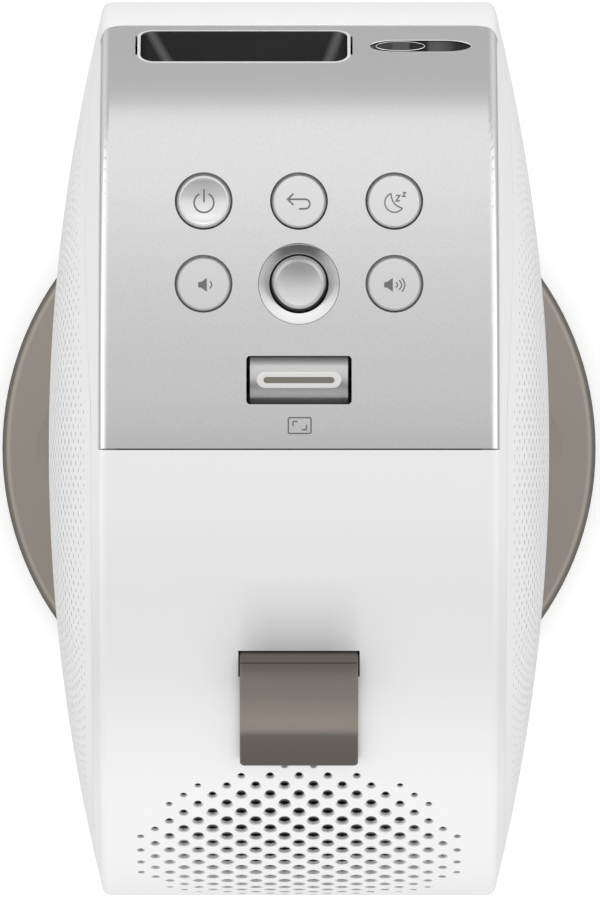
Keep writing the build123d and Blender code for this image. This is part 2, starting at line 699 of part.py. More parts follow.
def focus_rocker():
    """Barrel cut flat below, with a leg that works the two switches."""
    body = Rot(0, 90, 0) * Cylinder(ROCKER_R, ROCKER_LENGTH)
    body &= slab((-FAR, FAR), (-FAR, FAR), (-ROCKER_CHORD, FAR))
    leg_x, leg_y, leg_z = ROCKER_LEG
    body += slab((-leg_x / 2, leg_x / 2), (-leg_y / 2, leg_y / 2), (-leg_z, OVER - ROCKER_CHORD))
    body -= rim_cylinder(ROCKER_AXLE_R + ROCKER_AXLE_FIT, ROCKER_LENGTH + OVER)
    body -= Pos(0, 0, ROCKER_R - RIB_HEIGHT) * extrude(stadium(RIB_LENGTH, RIB_WIDTH), 2 * RIB_HEIGHT)
    return Pos(0, ROCKER_Y, rocker_axis_z()) * body


def rocker_rib():
    """Raised stadium rib let into the barrel."""
    rib = extrude(stadium(RIB_LENGTH, RIB_WIDTH), 2 * RIB_HEIGHT)
    rib = fillet(rib.faces().sort_by(Axis.Z)[-1].edges(), RIB_EDGE)
    slot = extrude(stadium(RIB_SLOT_LENGTH, RIB_SLOT_WIDTH), RIB_SLOT_DEPTH + OVER)
    rib -= Pos(0, 0, 2 * RIB_HEIGHT - RIB_SLOT_DEPTH) * slot
    return Pos(0, ROCKER_Y, rocker_axis_z() + ROCKER_R - RIB_HEIGHT) * rib


def rocker_inlay():
    """Coloured strip in the rib's slot."""
    strip = extrude(stadium(RIB_SLOT_LENGTH, RIB_SLOT_WIDTH), RIB_SLOT_DEPTH / 2)
    return Pos(0, ROCKER_Y, rocker_axis_z() + ROCKER_R + RIB_HEIGHT - RIB_SLOT_DEPTH) * strip


def cradle_x():
    """Inner and outer face of the rocker's side plates."""
    inner = ROCKER_WINDOW[0] / 2 + CRADLE_GAP / 2
    return (inner, inner + CRADLE_WALL)


def rocker_cradle():
    """Two side plates on the button board."""
    floor = BUTTON_BOARD_Z + BOARD_T
    top = rocker_axis_z() + 2 * ROCKER_AXLE_R
    near, far = cradle_x()
    y = (ROCKER_Y - CRADLE_DEPTH / 2, ROCKER_Y + CRADLE_DEPTH / 2)
    cradle = slab((-far, far), y, (floor, floor + CRADLE_WALL))
    for side in (-1, 1):
        cradle += slab((side * near, side * far), y, (floor, top))
    return cradle - Pos(0, ROCKER_Y, rocker_axis_z()) * rim_cylinder(ROCKER_AXLE_R, 2 * far + OVER)


def rocker_axle():
    """Cross axle, fixed in the cradle."""
    return Pos(0, ROCKER_Y, rocker_axis_z()) * rim_cylinder(ROCKER_AXLE_R, 2 * cradle_x()[1])


def pull_tab():
    """Soft tab: an eye round its pin, and a ramp up to the strip that lies on the rim."""
    arm_in = DRUM_R + TAB_LIFT
    arm_out = arm_in + TAB_T
    length = math.radians(TAB_END_ANGLE - TAB_PIN_ANGLE) * arm_out
    arm = wedge(TAB_PIN_ANGLE, TAB_END_ANGLE, arm_in, arm_out, TAB_WIDTH / 2)
    sheet = Pos(0, -length) * RectangleRounded(TAB_WIDTH, 2 * length, TAB_CORNER_R)
    arm &= rim_plane(TAB_END_ANGLE) * extrude(sheet, FAR)
    start, slope = TAB_RAMP
    foot = math.sqrt(TAB_EYE_R**2 - start**2)
    above = Box(2 * TAB_WIDTH, length, 2 * TAB_T, align=(Align.CENTER, Align.CENTER, Align.MIN))
    arm -= rim_plane(TAB_PIN_ANGLE, 0, TAB_PIN_RADIUS) * Pos(0, start, foot) * Rot(slope, 0, 0) * above
    arm += tab_pin_line(TAB_EYE_R, TAB_WIDTH)
    return arm - tab_pin_line(TAB_PIN_R + TAB_PIN_FIT, TAB_WIDTH + OVER)


def tab_pin():
    """Steel pin through the pull tab's eye."""
    return tab_pin_line(TAB_PIN_R, TAB_SLOT_WIDTH + 2 * TAB_POCKET_WALL)


# ---------------------------------------------------------------------------------------- windows
def lens_bezel():
    """Thin metal frame round the glass, flush with the rim."""
    frame = lens_opening(BEZEL_STRIP, BEZEL_STRIP) - lens_opening(0, 0)
    front = lens_post(FAR, LENS_PLANE - BEZEL_DEPTH, FAR)
    return frame & front & rim_cylinder(DRUM_R)


def lens_window_glass():
    """Flat glass in the bezel."""
    return lens_opening(0, 0) & lens_post(FAR, LENS_PLANE - LENS_GLASS_T, LENS_PLANE)


def sensor_plane(distance, x=0.0):
    """Plane of the sensor window at a distance from the drum's axis."""
    return rim_plane(SENSOR_ANGLE, SENSOR_X + x, distance)


def sensor_window():
    """Dark plate in the oblong recess."""
    plate = long_oval(SENSOR_LENGTH, SENSOR_HALF_H, SENSOR_END)
    return sensor_plane(DRUM_R - SENSOR_SINK - SENSOR_T) * extrude(plate, SENSOR_T)


def sensor_lens():
    """Oval camera lens on the plate."""
    oval = extrude(Ellipse(SENSOR_LENS[0] / 2, SENSOR_LENS[1] / 2), SENSOR_LENS_T)
    return sensor_plane(DRUM_R - SENSOR_SINK, SENSOR_LENS_X) * oval


def camera_block():
    """Camera and distance sensor behind the plate."""
    width, height, depth = SENSOR_BLOCK
    front = rim_height(height / 2, DRUM_R - PANEL_WALL)
    return sensor_plane(front - depth) * extrude(Rectangle(width, height), depth)


# ------------------------------------------------------------------------------------ light engine
def lens_frame(t=0.0):
    """Plane square to the lens axis, centred on it, at t from the drum's axis."""
    return rim_plane(LENS_ANGLE, LENS_X, t)


def lens_post(radius, start, end, x=0.0, u=0.0):
    """A cylinder along the lens axis."""
    return lens_frame(start) * Pos(x, u, 0) * post(radius, 0, end - start)


def light_engine_housing():
    """Cast box on the chassis plate, with cooling ribs on its top."""
    x = (PLATE_X[1] - LENS_X, ENGINE_X - LENS_X)
    length = ENGINE_T[1] - ENGINE_T[0]
    box = slab(x, ENGINE_U, (0, length))
    box = fillet(box.edges().filter_by(Axis.Z).group_by(Axis.X)[-1], ENGINE_EDGE)
    width, depth = ENGINE_GROOVE
    top = ENGINE_U[1]
    for step in range(ENGINE_GROOVES):
        middle = length * (step + 0.5) / ENGINE_GROOVES
        box -= slab(x, (top - depth, top + OVER), (middle - width / 2, middle + width / 2))
    return lens_frame(ENGINE_T[0]) * box


def lens_barrel():
    """Stepped barrel: rear flange, seat of the focus ring, front group."""
    gear_start = GEAR_T[0] - GEAR_AXIAL_GAP
    gear_end = GEAR_T[1] + GEAR_AXIAL_GAP
    tube = lens_post(BARREL_REAR_R, ENGINE_T[1], gear_start)
    tube += lens_post(BARREL_R, gear_start - OVER, gear_end + OVER)
    tube += lens_post(BARREL_FRONT_R, gear_end, BARREL_FRONT_T)
    return tube - lens_post(BARREL_BORE_R, gear_end + BARREL_BORE_START, BARREL_FRONT_T + OVER)


def front_lens():
    """Front element, domed outwards."""
    depth = FRONT_LENS_R - math.sqrt(FRONT_LENS_R**2 - BARREL_BORE_R**2)
    element = lens_frame(BARREL_FRONT_T - FRONT_LENS_R) * Sphere(FRONT_LENS_R)
    return element & lens_post(BARREL_BORE_R, BARREL_FRONT_T - depth - FRONT_LENS_T, BARREL_FRONT_T)


def gear_outline(teeth, bore):
    """Involute gear, each flank two chords, thinned by the backlash."""
    pitch_r = FOCUS_MODULE * teeth / 2
    base_r = pitch_r * math.cos(math.radians(PRESSURE_ANGLE))
    tip_r = pitch_r + 0.9 * FOCUS_MODULE
    root_r = pitch_r - 1.2 * FOCUS_MODULE

    def involute(radius):
        ratio = max(radius / base_r, 1.0)
        pressure = math.acos(1 / ratio)
        return math.tan(pressure) - pressure

    half_tooth = math.pi / (2 * teeth) - GEAR_BACKLASH / pitch_r + involute(pitch_r)
    flank = [max(root_r, base_r), pitch_r, tip_r]
    points = []
    for tooth in range(teeth):
        middle = 2 * math.pi * tooth / teeth
        left = [(r, middle - half_tooth + involute(r)) for r in flank]
        right = [(r, middle + half_tooth - involute(r)) for r in reversed(flank)]
        turn = [(root_r, left[0][1])] + left + right + [(root_r, right[-1][1])]
        points += [(r * math.cos(a), r * math.sin(a)) for r, a in turn if r > 0]
    outline = []
    for point in points:
        if not outline or math.dist(point, outline[-1]) > 1e-6:
            outline.append(point)
    return make_face(Polyline(*outline, close=True)) - Circle(bore)


def focus_ring():
    """Toothed ring that turns on the barrel."""
    ring = extrude(gear_outline(FOCUS_TEETH, BARREL_R + FOCUS_FIT), GEAR_T[1] - GEAR_T[0])
    return lens_frame(GEAR_T[0]) * Rot(0, 0, PINION_ANGLE) * ring


def pinion_place():
    """Pinion's centre from the lens axis, in the lens's own directions."""
    distance = FOCUS_MODULE * (FOCUS_TEETH + PINION_TEETH) / 2
    turn = math.radians(PINION_ANGLE)
    return (distance * math.cos(turn), distance * math.sin(turn))


def focus_pinion():
    """Pinion, in mesh with a tooth gap towards the ring."""
    wheel = extrude(gear_outline(PINION_TEETH, MOTOR_SHAFT_R + PINION_FIT), GEAR_T[1] - GEAR_T[0])
    turn = PINION_ANGLE + 180 + 180 / PINION_TEETH
    return lens_frame(GEAR_T[0]) * Pos(*pinion_place()) * Rot(0, 0, turn) * wheel


def focus_motor():
    """Stepper motor on the light engine, its fixed shaft carrying the pinion."""
    x, u = pinion_place()
    end = ENGINE_T[1] + MOTOR_LENGTH
    motor = lens_post(MOTOR_R, ENGINE_T[1], end, x, u)
    return motor + lens_post(MOTOR_SHAFT_R, end - OVER, GEAR_T[1] + OVER, x, u)


# ------------------------------------------------------------------------------- other inner pieces
def chassis_plate():
    """Upright plate that carries the inner pieces, held in the lower housing's ribs."""
    thickness = PLATE_X[1] - PLATE_X[0]
    low = rim_cylinder(PLATE_R_LOW, thickness) & slab((-FAR, FAR), (-FAR, FAR), (-FAR, SPLIT_Z))
    plate = rim_cylinder(PLATE_R_HIGH, thickness) + low
    plate = Pos((PLATE_X[0] + PLATE_X[1]) / 2, 0, 0) * plate
    board_rear = BUTTON_BOARD_Y + BUTTON_BOARD[1] / 2
    plate -= slab((-FAR, FAR), (-FAR, board_rear + PLATE_PLAY), (BUTTON_BOARD_Z, FAR))
    plate -= rim_plane(GRILLE_ANGLE, 0, WOOFER_BACK_D) * post(WOOFER_FRAME_R + PLATE_PLAY, 0, DRUM_R)
    tray_half = PORT_BAY[1] / 2 + PORT_WALL + PLATE_PLAY
    plate -= port_box(FAR, tray_half, PORT_FLOOR - PORT_WALL - PORT_BOARD[2], FAR)
    for angle in PLATE_HOLE_ANGLES:
        centre = rim_plane(angle, 0, PLATE_HOLE_DISTANCE).origin
        plate -= Pos(*centre) * rim_cylinder(PLATE_HOLE_R)
    return plate


def button_board():
    """Board under the controls, resting on the chassis plate's edge."""
    board = Box(BUTTON_BOARD[0], BUTTON_BOARD[1], BOARD_T)
    return Pos(0, BUTTON_BOARD_Y, BUTTON_BOARD_Z + BOARD_T / 2) * board


def tact_switches():
    """One push switch under each button and the joystick, and two beside the rocker's leg."""
    floor = BUTTON_BOARD_Z + BOARD_T
    pressed = [(x, y) for _, x, y in button_places()] + [(0.0, BUTTON_ROW_Y[1])]
    switches = [Pos(x, y, floor + SWITCH[2] / 2) * Box(*SWITCH) for x, y in pressed]
    for side in (-1, 1):
        place = Pos(0, ROCKER_Y + side * ROCKER_SWITCH_Y, floor + ROCKER_SWITCH[2] / 2)
        switches.append(place * Box(*ROCKER_SWITCH))
    return Compound(switches)


def main_board():
    """Main board with its shielded chips, on four standoffs."""
    y, z = MAIN_BOARD_YZ
    x = PLATE_X[0] - STANDOFF_LENGTH
    board = slab((x - BOARD_T, x), (y - MAIN_BOARD[0] / 2, y + MAIN_BOARD[0] / 2),
                 (z - MAIN_BOARD[1] / 2, z + MAIN_BOARD[1] / 2))
    for dy, dz, width, height, depth in CHIP_BLOCKS:
        board += slab((x - BOARD_T - depth, x - BOARD_T), (y + dy - width / 2, y + dy + width / 2),
                      (z + dz - height / 2, z + dz + height / 2))
    return board


def board_standoffs():
    """Standoffs between chassis plate and main board."""
    y, z = MAIN_BOARD_YZ
    x = PLATE_X[0] - STANDOFF_LENGTH / 2
    dy = MAIN_BOARD[0] / 2 - STANDOFF_INSET
    dz = MAIN_BOARD[1] / 2 - STANDOFF_INSET
    rod = rim_cylinder(STANDOFF_R, STANDOFF_LENGTH)
    places = [(sy * dy, sz * dz) for sy in (-1, 1) for sz in (-1, 1)]
    return Compound([Pos(x, y + a, z + b) * rod for a, b in places])


def battery_pack():
    """Wrapped pack of round cells: edges rounded to the cells, a groove between the rows."""
    pack = Box(*BATTERY)
    pack = fillet(pack.edges().filter_by(Axis.Y), BATTERY_EDGE)
    y, z = BATTERY_YZ
    return Pos(PLATE_X[1] + BATTERY[0] / 2, y, z) * pack


def heat_sink():
    """Finned block between chassis plate and fan."""
    length, depth, height = SINK
    y, z = FAN_YZ
    start = PLATE_X[1]
    upright = (z - height / 2, z + height / 2)
    sink = slab((start, start + SINK_BASE_T), (y - depth / 2, y + depth / 2), upright)
    pitch = (depth - SINK_FIN_T) / (SINK_FINS - 1)
    for fin in range(SINK_FINS):
        low = y - depth / 2 + fin * pitch
        sink += slab((start, start + length), (low, low + SINK_FIN_T), upright)
    return sink


def fan_start():
    """Face of the fan that lies on the heat sink."""
    return PLATE_X[1] + SINK[0]


def fan_frame():
    """Square frame with a motor seat on four spokes."""
    start = fan_start()
    y, z = FAN_YZ
    half = FAN_SIZE / 2
    frame = slab((start, start + FAN_T), (y - half, y + half), (z - half, z + half))
    frame = fillet(frame.edges().filter_by(Axis.X), FAN_CORNER_R)
    middle = Pos(start + FAN_T / 2, y, z)
    frame -= middle * rim_cylinder(FAN_BORE_R, FAN_T + OVER)
    seat = Pos(start + FAN_SPOKE_T / 2, y, z)
    frame += seat * rim_cylinder(FAN_HUB_R, FAN_SPOKE_T)
    frame += seat * Box(FAN_SPOKE_T, 2 * FAN_BORE_R + OVER, FAN_SPOKE_W)
    frame += seat * Box(FAN_SPOKE_T, FAN_SPOKE_W, 2 * FAN_BORE_R + OVER)
    return frame - seat * rim_cylinder(FAN_SHAFT_R + FAN_SHAFT_FIT, FAN_T)


def fan_rotor():
    """Hub with pitched blades, its shaft in the frame's seat."""
    start = fan_start() + FAN_SPOKE_T + FAN_GAP
    end = fan_start() + FAN_T - FAN_GAP
    length = end - start
    hub = Pos(length / 2, 0, 0) * rim_cylinder(FAN_HUB_R, length)
    reach = FAN_BLADE_R - FAN_HUB_R + 2 * OVER
    blade = Box(FAN_BLADE_T, FAN_BLADE_CHORD, reach)
    blade = Pos(length / 2, 0, FAN_BLADE_R - reach / 2) * Rot(0, 0, FAN_BLADE_PITCH) * blade
    for number in range(FAN_BLADES):
        hub += Rot(360 / FAN_BLADES * number, 0, 0) * blade
    hub += Pos(-FAN_SPOKE_T / 2, 0, 0) * rim_cylinder(FAN_SHAFT_R, FAN_SPOKE_T)
    y, z = FAN_YZ
    return Pos(start, y, z) * hub


def woofer():
    """Rear loudspeaker behind the grille: frame, cone basket and magnet, turned about its axis."""
    back = WOOFER_BACK_D
    front = WOOFER_FRAME_D
    basket = Cone(WOOFER_MAGNET_R, WOOFER_CONE_R, front - back - WOOFER_MAGNET_T,
                  align=(Align.CENTER, Align.CENTER, Align.MIN))
    speaker = post(WOOFER_MAGNET_R, 0, WOOFER_MAGNET_T) + Pos(0, 0, WOOFER_MAGNET_T) * basket
    speaker += post(WOOFER_FRAME_R, front - back - WOOFER_FRAME_T, front - back)
    dish = Cone(*WOOFER_DISH, align=(Align.CENTER, Align.CENTER, Align.MAX))
    speaker -= Pos(0, 0, front - back) * dish
    return rim_plane(GRILLE_ANGLE, 0, back) * speaker


def side_speaker(side, carrier_x, place):
    """Slim loudspeaker that faces a side cover."""
    y, z, depth = place
    frame_back = depth - TWEETER_FRAME_T
    speaker = post(TWEETER_MAGNET_R, 0, depth) + post(TWEETER_R, frame_back, depth)
    speaker += Pos(0, 0, frame_back) * Cone(TWEETER_MAGNET_R, TWEETER_CONE_R, frame_back - depth / 2,
                                            align=(Align.CENTER, Align.CENTER, Align.MAX))
    speaker -= Pos(0, 0, depth) * Cone(*TWEETER_DISH, align=(Align.CENTER, Align.CENTER, Align.MAX))
    return Pos(carrier_x, y, z) * Rot(0, 90 * side, 0) * speaker


def keeper_strips():
    """Two steel strips inside the lower band, which the base's magnets hold."""
    half = (KEEPER_X[1] - KEEPER_X[0]) / 2
    outer = DRUM_R - HOUSING_WALL
    strip = wedge(*KEEPER_ANGLES, outer - KEEPER_T, outer, half)
    middle = (KEEPER_X[0] + KEEPER_X[1]) / 2
    return Compound([Pos(side * middle, 0, 0) * strip for side in (-1, 1)])


# ------------------------------------------------------------------------------------------- ports
def port_plane(x, v, t):
    """Plane in the port bay's directions."""
    return rim_plane(PORT_ANGLE, x, t) * Pos(0, v, 0)


def socket_places():
    """Rectangular sockets: name, x and mouth."""
    return (("hdmi_socket", HDMI_X, HDMI_MOUTH), ("usb_a_socket", USB_A_X, USB_A_MOUTH),
            ("usb_c_socket", USB_C_X, USB_C_MOUTH))


def socket_v(height):
    """Middle of a socket that stands on the port board."""
    return PORT_BOARD_V + height / 2 + SOCKET_SHELL


def jack_v():
    """Middle of the round jack, which lies on the port board."""
    return PORT_BOARD_V + JACK_BODY_R


def port_panel():
    """Tray of the port bay with the mouths of the sockets in its floor."""
    tray = port_tray_solid() - port_bay_cut()
    for _, x, mouth in socket_places():
        hole = Rectangle(mouth[0] + 2 * SOCKET_SHELL, mouth[1] + 2 * SOCKET_SHELL)
        place = port_plane(x, socket_v(mouth[1]), PORT_FLOOR - PORT_WALL - OVER)
        tray -= place * extrude(hole, PORT_WALL + 2 * OVER)
    jack_hole = post(JACK_BODY_R, 0, PORT_WALL + 2 * OVER)
    return tray - port_plane(JACK_X, jack_v(), PORT_FLOOR - PORT_WALL - OVER) * jack_hole


def rectangular_socket(x, mouth):
    """Metal shell with an open mouth and a tongue inside."""
    shell = Rectangle(mouth[0] + 2 * SOCKET_SHELL, mouth[1] + 2 * SOCKET_SHELL)
    body = extrude(shell, SOCKET_DEPTH)
    body -= Pos(0, 0, SOCKET_SHELL) * extrude(Rectangle(*mouth), SOCKET_DEPTH)
    wide, high = TONGUE_SHARE
    body += extrude(Rectangle(mouth[0] * wide, mouth[1] * high), SOCKET_DEPTH - TONGUE_SHORT)
    return port_plane(x, socket_v(mouth[1]), PORT_FLOOR - SOCKET_DEPTH) * body


def audio_jack():
    """Round jack for a 3.5 mm plug."""
    back = PORT_FLOOR - JACK_DEPTH
    body = port_plane(JACK_X, jack_v(), back - OVER) * post(JACK_BODY_R, 0, JACK_DEPTH + OVER)
    return body - port_plane(JACK_X, jack_v(), back) * post(JACK_BORE_R, 0, JACK_DEPTH + OVER)


def port_board():
    """Small board that carries the sockets, against the back of the tray."""
    width, thickness, depth = PORT_BOARD
    back = PORT_FLOOR - PORT_WALL - depth
    board = extrude(Rectangle(width, thickness), depth)
    return port_plane(0, PORT_BOARD_V - thickness / 2, back) * board


# -------------------------------------------------------------------------------------------- base
def crowned_disc(radius, top, edge_chamfer):
    """A disc with a gently crowned top and a chamfered edge, turned about Z."""
    def crown(r):
        return top - BASE_CROWN_R + math.sqrt(BASE_CROWN_R**2 - r**2)

    rim = (radius, crown(radius))
    outline = [
        Line((0, 0), (radius, 0)),
        Line((radius, 0), rim),
        ThreePointArc(rim, (radius / 2, crown(radius / 2)), (0, top)),
        Line((0, top), (0, 0)),
    ]
    face = make_face(Curve() + outline)
    face = chamfer(face.vertices().sort_by_distance(rim)[0], edge_chamfer)
    return revolve(Plane.XZ * face, Axis.Z)


def base_posts(radius, bottom, top):
    """Four upright cylinders on the base's screw circle."""
    turns = (45, 135, 225, 315)
    return [Rot(0, 0, turn) * Pos(BASE_POST_CIRCLE, 0, 0) * post(radius, bottom, top) for turn in turns]


def base_shell():
    """Crowned shell with a saddle for the drum and four screw posts."""
    disc = crowned_disc(BASE_R, BASE_TOP_Z, BASE_CHAMFER)
    disc -= post(BASE_R + OVER, -OVER, BASE_SKIRT_Z)
    saddle = on_axis(rim_cylinder(DRUM_R + DRUM_GAP))
    hollow = crowned_disc(BOTTOM_R - BASE_WALL, BASE_TOP_Z - BASE_WALL, BASE_CHAMFER)
    hollow -= on_axis(rim_cylinder(DRUM_R + DRUM_GAP + BASE_WALL))
    for leg in base_posts(BASE_POST_R, BOTTOM_Z[1], BASE_TOP_Z):
        hollow -= leg
    disc -= saddle
    disc -= hollow
    disc -= post(BOTTOM_R, 0, BOTTOM_Z[1])
    for bore in base_posts(SCREW_R, 0, BOTTOM_Z[0] + BASE_SCREW_LENGTH):
        disc -= bore
    return disc


def foot_ring(bottom, top):
    """The foot's ring between two heights."""
    return post(FOOT_R[1], bottom, top) - post(FOOT_R[0], bottom - OVER, top + OVER)


def base_bottom_cover():
    """Disc that closes the base, grooved for the foot."""
    cover = post(BOTTOM_R, *BOTTOM_Z)
    cover -= foot_ring(0, BOTTOM_Z[0] + FOOT_GROOVE)
    cover -= base_posts(SCREW_R, 0, BOTTOM_Z[1] + OVER)
    cover -= base_posts(SCREW_HEAD_R, 0, BOTTOM_Z[0] + SCREW_HEAD_T)
    return cover


def base_foot_ring():
    """Rubber foot."""
    return foot_ring(0, FOOT_T)


def base_ballast():
    """Steel plate on the bottom cover, open round the screw posts."""
    top = BOTTOM_Z[1] + BALLAST_T
    return post(BALLAST_R, BOTTOM_Z[1], top) - base_posts(BASE_POST_R + BASE_POST_PLAY, 0, top + OVER)


def base_magnets():
    """Two magnets under the saddle, one below each keeper strip."""
    bottom = BOTTOM_Z[1] + BALLAST_T
    block = Box(*MAGNET, align=(Align.CENTER, Align.CENTER, Align.MIN))
    return Compound([Pos(side * MAGNET_X, 0, bottom) * block for side in (-1, 1)])


def base_screws():
    """Four screws from below."""
    screws = []
    heads = base_posts(SCREW_HEAD_R, BOTTOM_Z[0], BOTTOM_Z[0] + SCREW_HEAD_T)
    shanks = base_posts(SCREW_R, BOTTOM_Z[0], BOTTOM_Z[0] + BASE_SCREW_LENGTH)
    for head, shank in zip(heads, shanks):
        screws.append(head + shank)
    return Compound(screws)


# ---------------------------------------------------------------------------------------- assembly
def drum_pieces():
    """Every piece on the drum, about the drum's axis."""
    shell = barrel()
    pieces = {
        "upper_housing": upper_housing(shell),
        "lower_housing": lower_housing(shell),
        "side_cover_left": side_cover(1),
        "side_cover_right": side_cover(-1),
        "grille_cloth": grille_cloth(),
        "control_panel": control_panel(),
        "joystick_ring": joystick_ring(),
        "joystick_cap": joystick_cap(),
        "joystick_cross": joystick_cross(),
        "joystick_post": joystick_post(),
        "focus_rocker": focus_rocker(),
        "rocker_rib": rocker_rib(),
        "rocker_inlay": rocker_inlay(),
        "rocker_cradle": rocker_cradle(),
        "rocker_axle": rocker_axle(),
        "pull_tab": pull_tab(),
        "tab_pin": tab_pin(),
        "lens_bezel": lens_bezel(),
        "lens_window_glass": lens_window_glass(),
        "sensor_window": sensor_window(),
        "sensor_lens": sensor_lens(),
        "camera_block": camera_block(),
        "light_engine_housing": light_engine_housing(),
        "lens_barrel": lens_barrel(),
        "front_lens": front_lens(),
        "focus_ring": focus_ring(),
        "focus_pinion": focus_pinion(),
        "focus_motor": focus_motor(),
        "chassis_plate": chassis_plate(),
        "button_board": button_board(),
        "tact_switches": tact_switches(),
        "main_board": main_board(),
        "board_standoffs": board_standoffs(),
        "battery_pack": battery_pack(),
        "heat_sink": heat_sink(),
        "fan_frame": fan_frame(),
        "fan_rotor": fan_rotor(),
        "rear_speaker": woofer(),
        "side_speaker_left": side_speaker(1, PLATE_X[1] + BATTERY[0], TWEETER_LEFT),
        "side_speaker_right": side_speaker(-1, PLATE_X[0], TWEETER_RIGHT),
        "keeper_strips": keeper_strips(),
        "port_panel": port_panel(),
        "port_board": port_board(),
        "audio_jack": audio_jack(),
    }
    for name, x, mouth in socket_places():
        pieces[name] = rectangular_socket(x, mouth)
    for name, x, y in button_places():
        pieces[name] = button_cap(x, y, name == "power_button")
    return pieces


def base_pieces():
    """Every piece of the base."""
    return {
        "base_shell": base_shell(),
        "base_bottom_cover": base_bottom_cover(),
        "base_foot_ring": base_foot_ring(),
        "base_ballast": base_ballast(),
        "base_magnets": base_magnets(),
        "base_screws": base_screws(),
    }


def main():
    """Write one STEP file for each piece."""
    os.makedirs("parts", exist_ok=True)
    pieces = {name: on_axis(shape) for name, shape in drum_pieces().items()}
    pieces.update(base_pieces())
    for name, shape in pieces.items():
        export_step(shape, os.path.join("parts", name + ".step"))
    print(len(pieces), "pieces written")


if __name__ == "__main__":
    main()
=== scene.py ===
"""Looks of a portable drum projector on a round magnetic base.

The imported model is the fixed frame.  Sizes in this file are in millimetres, in the model's own directions:
+Z up, the lens looking towards -Y, the drum's axis along X.  Angles round the drum are in degrees from its
top, negative towards the lens.
"""
import logging
import math
from dataclasses import dataclass, field
from enum import Enum
from typing import Callable, NamedTuple, Sequence

import bmesh
import bpy
import numpy as np
from mathutils import Euler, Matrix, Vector
from mathutils.geometry import delaunay_2d_cdt


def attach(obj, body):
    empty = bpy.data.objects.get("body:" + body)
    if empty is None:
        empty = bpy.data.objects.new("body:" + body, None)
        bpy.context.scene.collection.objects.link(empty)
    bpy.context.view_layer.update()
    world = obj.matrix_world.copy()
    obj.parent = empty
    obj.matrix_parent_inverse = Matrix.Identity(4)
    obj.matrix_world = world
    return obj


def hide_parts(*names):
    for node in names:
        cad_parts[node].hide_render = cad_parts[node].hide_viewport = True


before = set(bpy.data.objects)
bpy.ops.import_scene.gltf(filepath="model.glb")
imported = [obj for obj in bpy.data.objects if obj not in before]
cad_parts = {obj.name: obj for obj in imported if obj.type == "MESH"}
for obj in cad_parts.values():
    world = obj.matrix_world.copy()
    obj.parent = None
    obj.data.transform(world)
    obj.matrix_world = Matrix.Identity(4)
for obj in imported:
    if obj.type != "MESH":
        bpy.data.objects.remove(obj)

LOG = logging.getLogger("projector")
Array = np.ndarray
Colour = tuple[float, float, float]
Stops = tuple[tuple[float, float], ...]

MM = 0.001
AXIS_Z = 102.9             # drum's axis over the table
DRUM_R = 92.5
SIDE_APEX = 51.8
DOME_R = 378.0
FACET = math.radians(32.0)  # edges sharper than this stay sharp


# ------------------------------------------------------------------------------------------ surfaces
def dome_x(radius: Array, inset: float = 0.0) -> Array:
    """Half width of the drum at a distance from its axis, on the ball of a side taken in by inset."""
    ball = DOME_R - inset      # its height is the root of its radius squared less the distance squared
    return SIDE_APEX - inset - ball + np.sqrt(ball**2 - radius**2)


def on_rim(x: Array, y: Array, radius: float) -> Array:
    """Points over (x, y) on a cylinder about the axis, at the root of its radius squared less y squared."""
    return np.stack([x, y, AXIS_Z + np.sqrt(radius**2 - y**2)], axis=-1)


def round_rim(x: Array, angle: Array, radius: Array) -> Array:
    """Points at an angle in radians round the axis: y and z are the radius times its sine and cosine."""
    return np.stack([x, radius * np.sin(angle), AXIS_Z + radius * np.cos(angle)], axis=-1)


def grid_faces(rows: int, columns: int, wrap: bool = False) -> Array:
    """Quads of a grid of points that is numbered row by row.

    Args:
        rows: Number of points along the first parameter.
        columns: Number of points along the second one.
        wrap: Whether the last column joins the first one.

    Returns:
        Four vertex numbers for each quad.
    """
    row, column = np.meshgrid(np.arange(rows - 1), np.arange(columns if wrap else columns - 1), indexing="ij")
    following = (column + 1) % columns
    corners = [row * columns + column, (row + 1) * columns + column,
               (row + 1) * columns + following, row * columns + following]
    return np.stack(corners, axis=-1).reshape(-1, 4)


def make_object(name: str, points: Array, faces: Sequence[Array], material: bpy.types.Material,
                closed: bool = True) -> bpy.types.Object:
    """A mesh object at the origin.

    Args:
        name: The piece's name.
        points: Vertices in millimetres, one row each.
        faces: Arrays of vertex numbers, all with the same corner count within one array.
        material: What it is made of.
        closed: Whether it is a closed form, shaded smooth between sharp edges.  Its doubles are merged
            and its faces turned outwards.

    Returns:
        The object.
    """
    mesh = bpy.data.meshes.new(name)
    corners = [face for array in faces for face in array.tolist()]
    mesh.from_pydata((np.asarray(points, float).reshape(-1, 3) * MM).tolist(), [], corners)
    mesh.validate()
    mesh.materials.append(material)
    if closed:
        work = bmesh.new()
        work.from_mesh(mesh)
        bmesh.ops.remove_doubles(work, verts=work.verts, dist=1e-7)
        bmesh.ops.recalc_face_normals(work, faces=work.faces)
        work.to_mesh(mesh)
        work.free()
        mesh.shade_smooth()
        mesh.set_sharp_from_angle(angle=FACET)
    obj = bpy.data.objects.new(name, mesh)
    bpy.context.scene.collection.objects.link(obj)
    LOG.info("made %s: %d faces", name, len(mesh.polygons))
    return obj


def sweep(name: str, sections: Array, material: bpy.types.Material, capped: bool = True) -> bpy.types.Object:
    """A closed profile carried along a path.

    Args:
        name: The piece's name.
        sections: Points as path steps by profile points by three.
        material: What it is made of.
        capped: Whether its two ends are closed; the sections of a ring begin and end with the same one.

    Returns:
        The object.
    """
    steps, around = sections.shape[:2]
    first = np.arange(around)[None, :]
    caps = [first, (steps - 1) * around + first[:, ::-1]] if capped else []
    return make_object(name, sections, [grid_faces(steps, around, wrap=True), *caps], material)


